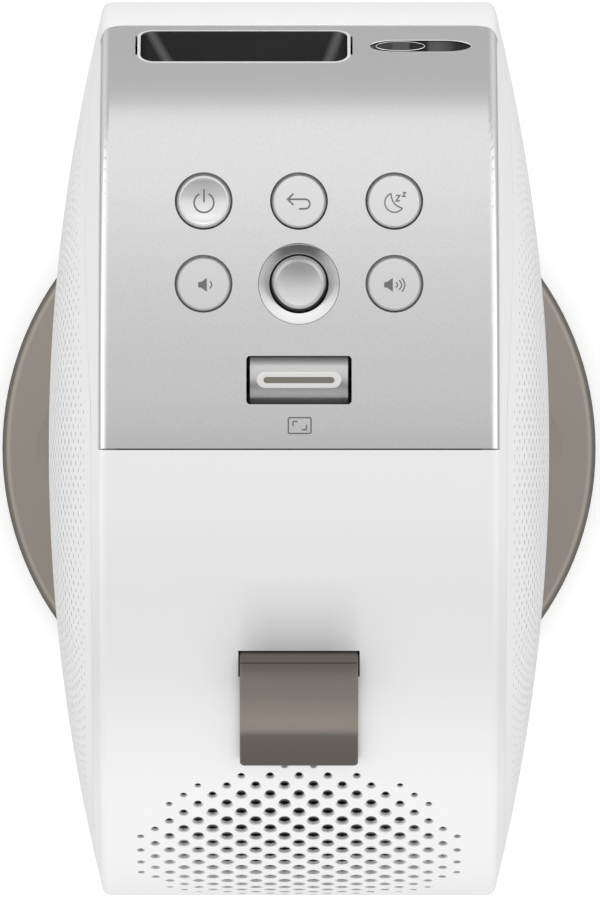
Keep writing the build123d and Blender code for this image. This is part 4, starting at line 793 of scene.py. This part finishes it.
# --------------------------------------------------------------------------------------------- tab
@dataclass
class PullTab:
    """Soft tab: an eye round its pin, a crease, and a strip that rises behind it and lies on the rim."""

    width: float = 24.1
    pin_angle: float = 28.25
    pin_radius: float = 91.1
    eye: float = 2.6
    eye_under: float = 2.3         # the eye where the strip covers it
    eye_covered: float = 1.95      # radians from the outward direction to the end of that part
    eye_edge: float = 0.35         # bevel of the eye's ends
    bore: float = 0.95
    crease: float = -0.85          # end of the eye's outer turn, behind the pin
    strip_from: float = 0.17       # the strip's start behind the crease
    strip_height: float = 2.42     # of its outer face over the pin, at its start
    lip: float = 0.06              # length of its dropped lip
    lip_drop: float = 0.09         # share of the thickness that the lip drops by
    climb: float = 3.2             # length over which it rises to full height
    lift: float = 0.35
    thickness: float = 1.6
    end_angle: float = 43.4
    end_share: float = 0.55        # of the thickness left at the free end
    end_lift: float = 0.22         # share of the thickness that the end's underside lifts by
    fade: float = 0.5              # length over which the end thins
    bevel: float = 0.5
    soft: float = 0.18             # bevel of the underside
    corner: float = 0.7

    def strip(self) -> bpy.types.Object:
        """The strip: a bevelled profile carried round the rim, its free corners rounded.

        Its outer face climbs from the crease to full height on a quarter of a sine wave, the bevels follow,
        and towards the free end the profile narrows and thins on circular arcs.

        Returns:
            The object.
        """
        inner = DRUM_R + self.lift
        pin = math.radians(self.pin_angle)
        start = pin + (self.crease + self.strip_from) / self.pin_radius
        end = math.radians(self.end_angle)
        corner = self.corner / inner
        along = np.concatenate([start + np.array([0.0, self.lip]) / inner,
                                np.linspace(start + 0.2 / inner, end - corner, 40)[:-1],
                                end - corner * (1 - np.sin(np.linspace(0, np.pi / 2, 10)))])
        behind, left = (along - start) * inner, (end - along) * inner
        near = np.clip(self.corner - left, 0, self.corner)
        taken = self.corner - np.sqrt(np.clip(self.corner**2 - near**2, 0, None))
        half = self.width / 2 - taken
        b, s, t = self.bevel, self.soft, self.thickness
        rise = np.array([(0, s), (s, 0), (t - b, 0), (t - 0.6 * s, 0.55 * b), (t, b)])    # height and inset
        height, inset = np.concatenate([rise, rise[::-1]]).T
        side = np.repeat([-1, 1], len(rise))
        x = side[None, :] * (half[:, None] - inset[None, :])
        low = (self.pin_radius + self.strip_height - inner) / t
        full = low + (1 - low) * np.sin(np.clip(behind / self.climb, 0, 1) * np.pi / 2)
        full = full - self.lip_drop * np.clip(1 - behind / self.lip, 0, 1)
        fade = np.sqrt(np.clip(left / self.fade, 0, 1))
        level = height[None, :] * (full * (self.end_share + (1 - self.end_share) * fade))[:, None]
        level = level + (self.end_lift * t * (1 - fade))[:, None]
        sections = round_rim(x, np.broadcast_to(along[:, None], x.shape), inner + level)
        return sweep("pull_tab_strip", sections, Surface.TAUPE_RUBBER.material())

    def eye_roll(self) -> bpy.types.Object:
        """The eye: a ring's outline carried across the tab, rounded at both ends, thinner under the strip.

        Returns:
            The object.
        """
        pin = math.radians(self.pin_angle)
        step = pin + math.asin(self.crease / self.eye)
        seam = pin + self.eye_covered
        turn = np.concatenate([np.linspace(step + 0.02, seam - 0.05, 16),
                               np.linspace(seam + 0.05, step + 2 * np.pi, 40)])
        outer = np.where(turn < seam, self.eye_under, self.eye)
        half, edge = self.width / 2, self.eye_edge
        x = np.array([-half + edge, -half, -half, -half + edge, half - edge, half, half, half - edge])
        ends = np.array([0, edge, -edge, 0, 0, -edge, edge, 0])
        inside = np.array([1, 1, 0, 0, 0, 0, 1, 1])
        radius = np.where(inside[None, :] > 0, self.bore, outer[:, None]) + ends[None, :]
        y = self.pin_radius * math.sin(pin) + radius * np.sin(turn)[:, None]
        z = AXIS_Z + self.pin_radius * math.cos(pin) + radius * np.cos(turn)[:, None]
        sections = np.stack([np.broadcast_to(x[None, :], y.shape), y, z], axis=-1)
        sections = np.concatenate([sections, sections[:1]])
        return sweep("pull_tab_eye", sections, Surface.TAUPE_RUBBER.material(), capped=False)

    def build(self) -> None:
        """Builds strip and eye and puts them on the tab's body."""
        for obj in (self.strip(), self.eye_roll()):
            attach(obj, "pull_tab")
            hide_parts("pull_tab")


# ------------------------------------------------------------------------------------------- signs
Path = list[tuple[float, float]]


def arc(centre: tuple[float, float], radius: float, start: float, end: float, points: int) -> Path:
    """Points on an arc, degrees counted from the right towards the front."""
    turn = np.radians(np.linspace(start, end, points))
    return list(zip(centre[0] + radius * np.cos(turn), centre[1] + radius * np.sin(turn)))


def bend(first: tuple[float, float], pull: tuple[float, float], last: tuple[float, float],
         points: int = 14) -> Path:
    """Points on a curve from first to last that is drawn towards pull.

    At a share t of the way their weights are (1 - t) squared, t squared and, for pull, twice t (1 - t).

    Args:
        first: Where it starts.
        pull: What it is drawn towards.
        last: Where it ends.
        points: Number of points.

    Returns:
        The points.
    """
    t = np.linspace(0, 1, points)[:, None]
    curve = (1 - t)**2 * np.array(first) + 2 * t * (1 - t) * np.array(pull) + t**2 * np.array(last)
    return [tuple(point) for point in curve.tolist()]


@dataclass
class Sign:
    """A printed sign made of lines and filled shapes, as seen from above, x to the right, y to the front."""

    name: str
    body: str
    place: tuple[float, float]     # middle of the sign in model x and y
    lines: list[tuple[Path, float]] = field(default_factory=list)
    fills: list[Path] = field(default_factory=list)
    thickness: float = 0.03
    dish: tuple[float, float] | None = None    # the hollowing ball's radius, and its half width at the rim

    def surface(self, flat: Array, height: float) -> Array:
        """Carries flat points to the rim, or onto the dish, turned to the model's directions.

        The dish is the lower side of a ball whose centre stands outside the rim, above the sign's middle:
        its height is the centre's less the root of the radius squared less the squared distance.

        Args:
            flat: Points of the sign.
            height: Distance over the surface.

        Returns:
            Points, one row each.
        """
        x = self.place[0] - flat[:, 0]
        y = self.place[1] - flat[:, 1]
        if self.dish is None:
            return on_rim(x, y, DRUM_R + height)
        ball, half = self.dish
        out = (DRUM_R + math.sqrt(ball**2 - half**2)) / DRUM_R
        centre_y = self.place[1] * out
        centre_z = math.sqrt(DRUM_R**2 - self.place[1]**2) * out
        z = centre_z - np.sqrt((ball - height)**2 - (x - self.place[0])**2 - (y - centre_y)**2)
        return np.stack([x, y, AXIS_Z + z], axis=-1)

    def line(self, path: Path, width: float) -> tuple[Array, Array]:
        """A line of even width: each point is moved to both sides, square to the path.

        Args:
            path: Points along the line's middle.
            width: Its width.

        Returns:
            Flat points, left side then right side, and its quads.
        """
        points = np.array(path, float)
        if len(points) == 2:
            points = points[0] + (points[1] - points[0]) * np.linspace(0, 1, 8)[:, None]
        ahead = np.diff(points, axis=0)
        ahead /= np.linalg.norm(ahead, axis=1)[:, None]
        before = np.vstack([ahead[:1], ahead])
        after = np.vstack([ahead, ahead[-1:]])
        side = np.column_stack([-(before + after)[:, 1], (before + after)[:, 0]])
        side /= np.linalg.norm(side, axis=1)[:, None]
        square = np.column_stack([-after[:, 1], after[:, 0]])
        stretch = 1 / np.clip(np.abs(np.einsum("ij,ij->i", side, square)), 0.5, 1)
        offset = side * (stretch * width / 2)[:, None]
        count = len(points)
        index = np.arange(count - 1)
        quads = np.column_stack([index, index + 1, index + 1 + count, index + count])
        return np.vstack([points + offset, points - offset]), quads

    def build(self) -> None:
        """Builds the sign as thin closed prints on the rim's surface."""
        points: list[Array] = []
        faces: dict[int, list[Array]] = {}
        base = 0
        for flat, cells, loop in self.shapes():
            count = len(flat)
            points += [self.surface(flat, self.thickness), self.surface(flat, -self.thickness)]
            around = np.roll(loop, -1)
            walls = np.column_stack([loop, around, around + count, loop + count])
            for group in (cells, cells[:, ::-1] + count, walls):
                faces.setdefault(group.shape[1], []).append(group + base)
            base += 2 * count
        obj = make_object(self.name, np.vstack(points), [np.vstack(group) for group in faces.values()],
                          Surface.PRINT.material())
        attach(obj, self.body)

    def shapes(self) -> list[tuple[Array, Array, Array]]:
        """The lines and filled shapes.

        Returns:
            Flat points, cells and outer loop of each.
        """
        shapes = []
        for path, width in self.lines:
            flat, quads = self.line(path, width)
            half = len(flat) // 2
            loop = np.concatenate([np.arange(half), half + np.arange(half)[::-1]])
            shapes.append((flat, quads, loop))
        for path in self.fills:
            flat = np.array(path, float)
            middle = flat.mean(axis=0)
            index = np.arange(len(flat))
            cells = np.column_stack([index, (index + 1) % len(flat), np.full(len(flat), len(flat))])
            shapes.append((np.vstack([flat, middle]), cells, index))
        return shapes


@dataclass
class Signs:
    """The signs on the buttons and beside the rocker."""

    pitch: float = 19.4
    front_row: float = -50.4
    rear_row: float = -33.5
    stroke: float = 0.34           # widths of the lines
    thin: float = 0.28
    fine: float = 0.26

    def power(self) -> Sign:
        """An open ring with a bar."""
        ring = arc((0.05, -0.31), 2.0, 118, 422, 40)
        return Sign("power_sign", "power_button", (self.pitch, self.front_row),
                    [(ring, self.stroke), ([(0.05, 2.42), (0.05, -0.25)], self.stroke)], dish=(14.0, 5.6))

    def back(self) -> Sign:
        """An arrow that turns back.

        Returns:
            The sign.
        """
        shaft = [(-2.3, 0.38), (1.2, 0.38)] + arc((1.24, -0.6), 0.98, 88, -88, 18) + [(0.0, -1.58)]
        head = [(-1.13, 1.54), (-2.3, 0.38), (-1.13, -0.78)]
        return Sign("return_sign", "return_button", (0.0, self.front_row),
                    [(path, self.stroke) for path in (shaft, head)])

    def sleep(self) -> Sign:
        """A crescent with two small letters z.

        Returns:
            The sign.
        """
        outer = arc((0.05, -0.31), 1.98, 110, 325, 30)
        inner = bend(outer[0], (-0.62, -0.85), outer[-1])
        big = [(0.35, 1.14), (1.12, 1.14), (0.37, 0.04), (1.16, 0.04)]
        small = [(1.72, 1.74), (2.3, 1.74), (1.74, 0.96), (2.34, 0.96)]
        return Sign("sleep_sign", "sleep_button", (-self.pitch, self.front_row),
                    [(outer, self.fine), (inner, self.fine), (big, self.thin), (small, self.fine)])

    def loudspeaker(self, left: float) -> list[Path]:
        """A small loudspeaker.

        Args:
            left: Its left edge.

        Returns:
            Its two filled shapes.
        """
        box = [(left, 0.34), (left + 0.62, 0.34), (left + 0.62, -0.76), (left, -0.76)]
        cone = [(left + 0.56, 0.34), (left + 1.76, 1.2), (left + 1.76, -1.62), (left + 0.56, -0.76)]
        return [box, cone]

    def quieter(self) -> Sign:
        """A loudspeaker with one wave."""
        return Sign("volume_down_sign", "volume_down_button", (self.pitch, self.rear_row),
                    [(bend((1.28, 0.5), (2.06, -0.22), (1.28, -0.94)), self.fine)], self.loudspeaker(-1.08))

    def louder(self) -> Sign:
        """A loudspeaker with three waves."""
        waves = [bend((0.3, 0.3), (0.92, -0.22), (0.3, -0.76)),
                 bend((0.93, 0.72), (1.95, -0.22), (0.93, -1.2)),
                 bend((1.49, 1.13), (2.7, -0.22), (1.49, -1.58))]
        return Sign("volume_up_sign", "volume_up_button", (-self.pitch, self.rear_row),
                    [(wave, self.fine) for wave in waves], self.loudspeaker(-2.09))

    def picture(self) -> Sign:
        """A rounded frame with two corner marks, beside the rocker.

        Returns:
            The sign.
        """
        half_w, half_h, round_r = 2.3, 1.6, 0.28
        ring = [point for quarter, (side, end) in enumerate(((1, 1), (-1, 1), (-1, -1), (1, -1)))
                for point in arc((side * (half_w - round_r), end * (half_h - round_r)), round_r,
                                 90 * quarter, 90 * quarter + 90, 6)]
        marks = [[(-1.35, -0.1), (-1.35, 0.85), (-0.4, 0.85)], [(1.35, 0.1), (1.35, -0.85), (0.4, -0.85)]]
        return Sign("picture_sign", "drum", (-0.14, -4.67),
                    [(path, self.thin) for path in (ring + ring[:1], *marks)])

    def build(self) -> None:
        """Prints every sign."""
        for sign in (self.power(), self.back(), self.sleep(), self.quieter(), self.louder(), self.picture()):
            sign.build()


# ----------------------------------------------------------------------------------------- windows
@dataclass(frozen=True)
class DarkGlass:
    """Nearly black glass of the lens window; the baffles beside its lens show as two leaning streaks, and
    painted shade darkens it towards both ends.
    """

    name: str = "dark_window_glass"
    depth: Colour = (0.006, 0.006, 0.0065)
    streak: Colour = (0.075, 0.075, 0.075)
    front_y: float = -85.7         # front edge of the lens window
    rear_y: float = -79.2
    streaks: Stops = ((30.6, -3.7), (-8.4, 2.5))   # x at the front edge, and its change to the rear
    streak_widths: tuple[float, float] = (0.2, 1.5)    # half widths where it is full and where it ends
    haze: float = 0.12             # share of the streaks' tone that a faint cloud adds
    haze_scale: float = 60.0
    middle_x: float = 11.3
    # painted shade towards both ends of the window
    corners: tuple[float, float] = (19.6, 21.2)    # distances from the window's middle where it turns dark
    corner_tone: float = 0.1
    roughness: float = 0.08
    specular: float = 0.03

    def material(self) -> bpy.types.Material:
        """The glass as a material.

        Returns:
            The material.
        """
        material, nodes, shader = new_material(self.name)
        place = nodes.place()
        x, y, _ = nodes.parts(nodes.tint(place, 1 / MM))
        back = nodes.spread(y, 0.0, 1.0, self.front_y, self.rear_y)
        light = nodes.times(nodes.noise(place, self.haze_scale, 1.0), self.haze)
        for start, change in self.streaks:
            off = nodes.math("ABSOLUTE", nodes.minus(x, nodes.plus(nodes.times(back, change), start)))
            light = nodes.plus(light, nodes.spread(off, 1.0, 0.0, *self.streak_widths))
        mixed = nodes.add("ShaderNodeMix", {0: light, 6: (*self.depth, 1), 7: (*self.streak, 1)},
                          data_type="RGBA").outputs[2]
        away = nodes.math("ABSOLUTE", nodes.minus(x, self.middle_x))
        # painted shade towards the window's ends
        colour = nodes.tint(mixed, nodes.spread(away, 1.0, self.corner_tone, *self.corners))
        nodes.feed_all(shader, {"Base Color": colour, "Roughness": self.roughness,
                                "Specular IOR Level": self.specular})
        return material


@dataclass(frozen=True)
class SensorGlass:
    """Dark glass whose depth of tone changes across the sensor window."""

    name: str
    stops: Stops                   # places along X, each with its tone
    roughness: float = 0.1
    specular: float = 0.08

    def material(self) -> bpy.types.Material:
        """The glass as a material.

        Returns:
            The material.
        """
        material, nodes, shader = new_material(self.name)
        x, _, _ = nodes.parts(nodes.tint(nodes.place(), 1 / MM))
        nodes.feed_all(shader, {"Base Color": nodes.tint((1, 1, 1), nodes.curve(x, self.stops)),
                                "Roughness": self.roughness, "Specular IOR Level": self.specular})
        return material


def dress_windows() -> None:
    """Gives lens window, sensor window and sensor lens their dark glass."""
    plate = SensorGlass("dark_sensor_glass", (
        (-35.4, 0.0), (-32.5, 0.004), (-30.5, 0.045), (-28.5, 0.07), (-26.8, 0.06), (-26.2, 0.004),
        (-15.7, 0.004), (-15.3, 0.05), (-14.3, 0.12)))
    camera = SensorGlass("black_camera_lens", (
        (-25.9, 0.002), (-22.9, 0.004), (-22.4, 0.06), (-19.4, 0.06), (-18.9, 0.025), (-16.0, 0.03)),
        roughness=0.08, specular=0.1)
    dress("lens_window_glass", DarkGlass().material())
    dress("sensor_window", plate.material())
    dress("sensor_lens", camera.material())


@dataclass
class Bead:
    """A thin bright bead along a long oval in the sensor window's plane."""

    name: str
    middle_x: float
    distance: float                # from the drum's axis
    straight: float                # half length of the oval's straight part
    end: float                     # length of each end, a half ellipse
    half_height: float
    angle: float = -63.4
    thickness: float = 0.11        # radius of the bead
    points: int = 72

    def build(self) -> None:
        """Builds the bead.

        A point of the oval at a turn t stands at end cos t, half_height sin t, moved aside by the straight
        part; the bead is a circle carried along it, square to the path.
        """
        turn = np.linspace(0, 2 * np.pi, self.points + 1)
        along = self.end * np.cos(turn) + self.straight * np.sign(np.round(np.cos(turn), 6))
        across = self.half_height * np.sin(turn)
        out = np.column_stack([np.cos(turn) / self.end, np.sin(turn) / self.half_height])
        out /= np.linalg.norm(out, axis=1)[:, None]
        circle = np.linspace(0, 2 * np.pi, 8, endpoint=False)
        flat = self.thickness * np.cos(circle)[None, :]
        u = along[:, None] + out[:, :1] * flat
        v = across[:, None] + out[:, 1:] * flat
        height = np.broadcast_to(self.distance + self.thickness * np.sin(circle)[None, :], u.shape)
        tilt = math.radians(self.angle)
        sections = np.stack([self.middle_x + u, height * math.sin(tilt) + v * math.cos(tilt),
                             AXIS_Z + height * math.cos(tilt) - v * math.sin(tilt)], axis=-1)
        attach(sweep(self.name, sections, Surface.BEZEL.material(), capped=False), "drum")


# ------------------------------------------------------------------------------------------- studio
@dataclass
class Studio:
    """Pale floor, soft light and the camera straight above."""

    floor_level: float = -0.05         # just under the foot
    floor_radius: float = 1110.0       # beyond it the bright backdrop goes on below the horizon
    floor_rings: tuple[float, float] = (30.0, 300.0)   # radii of its inner rings
    floor_sides: int = 64
    camera_height: float = 4490.0      # over the drum's axis
    scale: float = 4.827               # pixels to a millimetre at the drum's axis
    picture: tuple[int, int] = (600, 900)
    axis_pixel: tuple[float, float] = (299.0, 448.6)
    sensor: float = 36.0
    # Brightness of the sky at an angle from straight up, negative towards the lens side: a bright tent over
    # the front, a dark gap behind the camera, a softbox at the rear.
    sky: Stops = (
        (-90.0, 1.30), (-75.0, 1.27), (-60.0, 1.16), (-45.0, 1.03), (-30.0, 0.93), (-15.0, 0.88),
        (-4.0, 0.86), (7.0, 0.30), (20.0, 0.15), (32.0, 0.32), (44.0, 0.72), (56.0, 1.17), (66.0, 1.37),
        (76.0, 1.16), (84.0, 0.72), (90.0, 0.53))
    sky_side: float = 1.32             # brightness to both sides
    side_from: tuple[float, float] = (0.45, 0.85)  # X of a direction where the sides begin and are full
    front_power: float = 2.6
    rear_power: float = 4.0
    floor_tone: float = 0.72
    floor_roughness: float = 0.9
    floor_specular: float = 0.1
    floor_glow: float = 0.48           # added for the camera only
    floor_mirrored: float = 0.82       # tone of the floor in reflections, over its own

    def camera(self) -> None:
        """Puts the camera over the drum, the lens side up in the picture."""
        data = bpy.data.cameras.new("camera")
        data.sensor_width = self.sensor
        data.lens = self.scale * self.camera_height * self.sensor / self.picture[1]
        data.clip_end = 50.0
        camera = bpy.data.objects.new("camera", data)
        x = -(self.picture[0] / 2 - self.axis_pixel[0]) / self.scale
        y = (self.picture[1] / 2 - self.axis_pixel[1]) / self.scale
        camera.location = (x * MM, y * MM, (AXIS_Z + self.camera_height) * MM)
        camera.rotation_euler = (0, 0, math.pi)
        bpy.context.scene.collection.objects.link(camera)
        bpy.context.scene.camera = camera

    def lamp(self, name: str, angle: float, distance: float, size: tuple[float, float], power: float) -> None:
        """A large soft lamp that faces the drum and shows in no reflection.

        Args:
            name: Its name.
            angle: Where it stands, in degrees from straight up, negative towards the lens side.
            distance: How far from the drum, in metres.
            size: Along X and across, in metres.
            power: In watts.
        """
        data = bpy.data.lights.new(name, "AREA")
        data.shape = "RECTANGLE"
        data.size, data.size_y = size
        data.energy = power
        lamp = bpy.data.objects.new(name, data)
        turn = math.radians(angle)
        lamp.location = (0, distance * math.sin(turn), AXIS_Z * MM + distance * math.cos(turn))
        lamp.rotation_euler = Euler((-turn, 0, 0))
        lamp.visible_camera = False
        lamp.visible_glossy = False
        bpy.context.scene.collection.objects.link(lamp)

    def world(self) -> None:
        """A sky whose brightness changes from front to rear, and that the camera sees as white."""
        world = bpy.data.worlds.new("studio")
        bpy.context.scene.world = world
        world.use_nodes = True
        world.node_tree.nodes.clear()
        nodes = Nodes(world.node_tree)
        x, y, z = nodes.parts(nodes.add("ShaderNodeTexCoord").outputs["Generated"])
        angle = nodes.math("DEGREES", nodes.math("ARCTAN2", y, z))
        aside = nodes.spread(nodes.math("ABSOLUTE", x), 0.0, 1.0, *self.side_from)
        lit = nodes.plus(nodes.times(nodes.curve(angle, self.sky), nodes.minus(1.0, aside)),
                         nodes.times(aside, self.sky_side))
        seen = nodes.add("ShaderNodeLightPath").outputs["Is Camera Ray"]
        shown = {"Color": (1, 1, 1, 1), "Strength": nodes.math("MAXIMUM", seen, lit)}
        background = nodes.add("ShaderNodeBackground", shown).outputs[0]
        nodes.add("ShaderNodeOutputWorld", {"Surface": background})

    def floor(self) -> None:
        """A pale floor: a disc of rings that the camera sees nearly white, darker only in shadow."""
        turn = np.linspace(0, 2 * np.pi, self.floor_sides, endpoint=False)
        radius = np.array([*self.floor_rings, self.floor_radius])[:, None]
        x = radius * np.cos(turn)
        points = np.stack([x, radius * np.sin(turn), np.full(x.shape, self.floor_level)], axis=-1)
        material, nodes, shader = new_material("pale_floor")
        paths = nodes.add("ShaderNodeLightPath").outputs
        tone = nodes.spread(paths["Is Glossy Ray"], self.floor_tone, self.floor_tone * self.floor_mirrored)
        nodes.feed_all(shader, {
            "Base Color": nodes.tint((1, 1, 1), tone), "Roughness": self.floor_roughness,
            "Specular IOR Level": self.floor_specular, "Emission Color": (1, 1, 1, 1),
            "Emission Strength": nodes.times(paths["Is Camera Ray"], self.floor_glow)})
        faces = [grid_faces(*x.shape, wrap=True)[:, ::-1], np.arange(self.floor_sides)[None, :]]
        make_object("floor", points, faces, material, closed=False)

    def build(self) -> None:
        """Sets the stage."""
        self.camera()
        self.world()
        self.lamp("front_softbox", angle=-80.0, distance=1.3, size=(1.6, 0.9), power=self.front_power)
        self.lamp("rear_softbox", angle=72.0, distance=1.3, size=(1.6, 0.8), power=self.rear_power)
        self.floor()
        bpy.context.scene.view_settings.view_transform = "Standard"


def main() -> None:
    """Builds and dresses every sub-assembly in order."""
    logging.basicConfig(level=logging.INFO, format="%(message)s")
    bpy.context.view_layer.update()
    Studio().build()
    dress_nodes()
    dress_windows()
    covers = SideCovers()
    for side in (1, -1):
        covers.build(side)
    PullTab().build()
    Bead("sensor_window_trim", middle_x=-24.9, distance=DRUM_R - 0.16, straight=4.6, end=5.9,
         half_height=2.8).build()
    Bead("sensor_lens_trim", middle_x=-20.8, distance=DRUM_R - 0.14, straight=0.0, end=5.0,
         half_height=2.15, thickness=0.085).build()
    Signs().build()


if __name__ == "__main__":
    main()
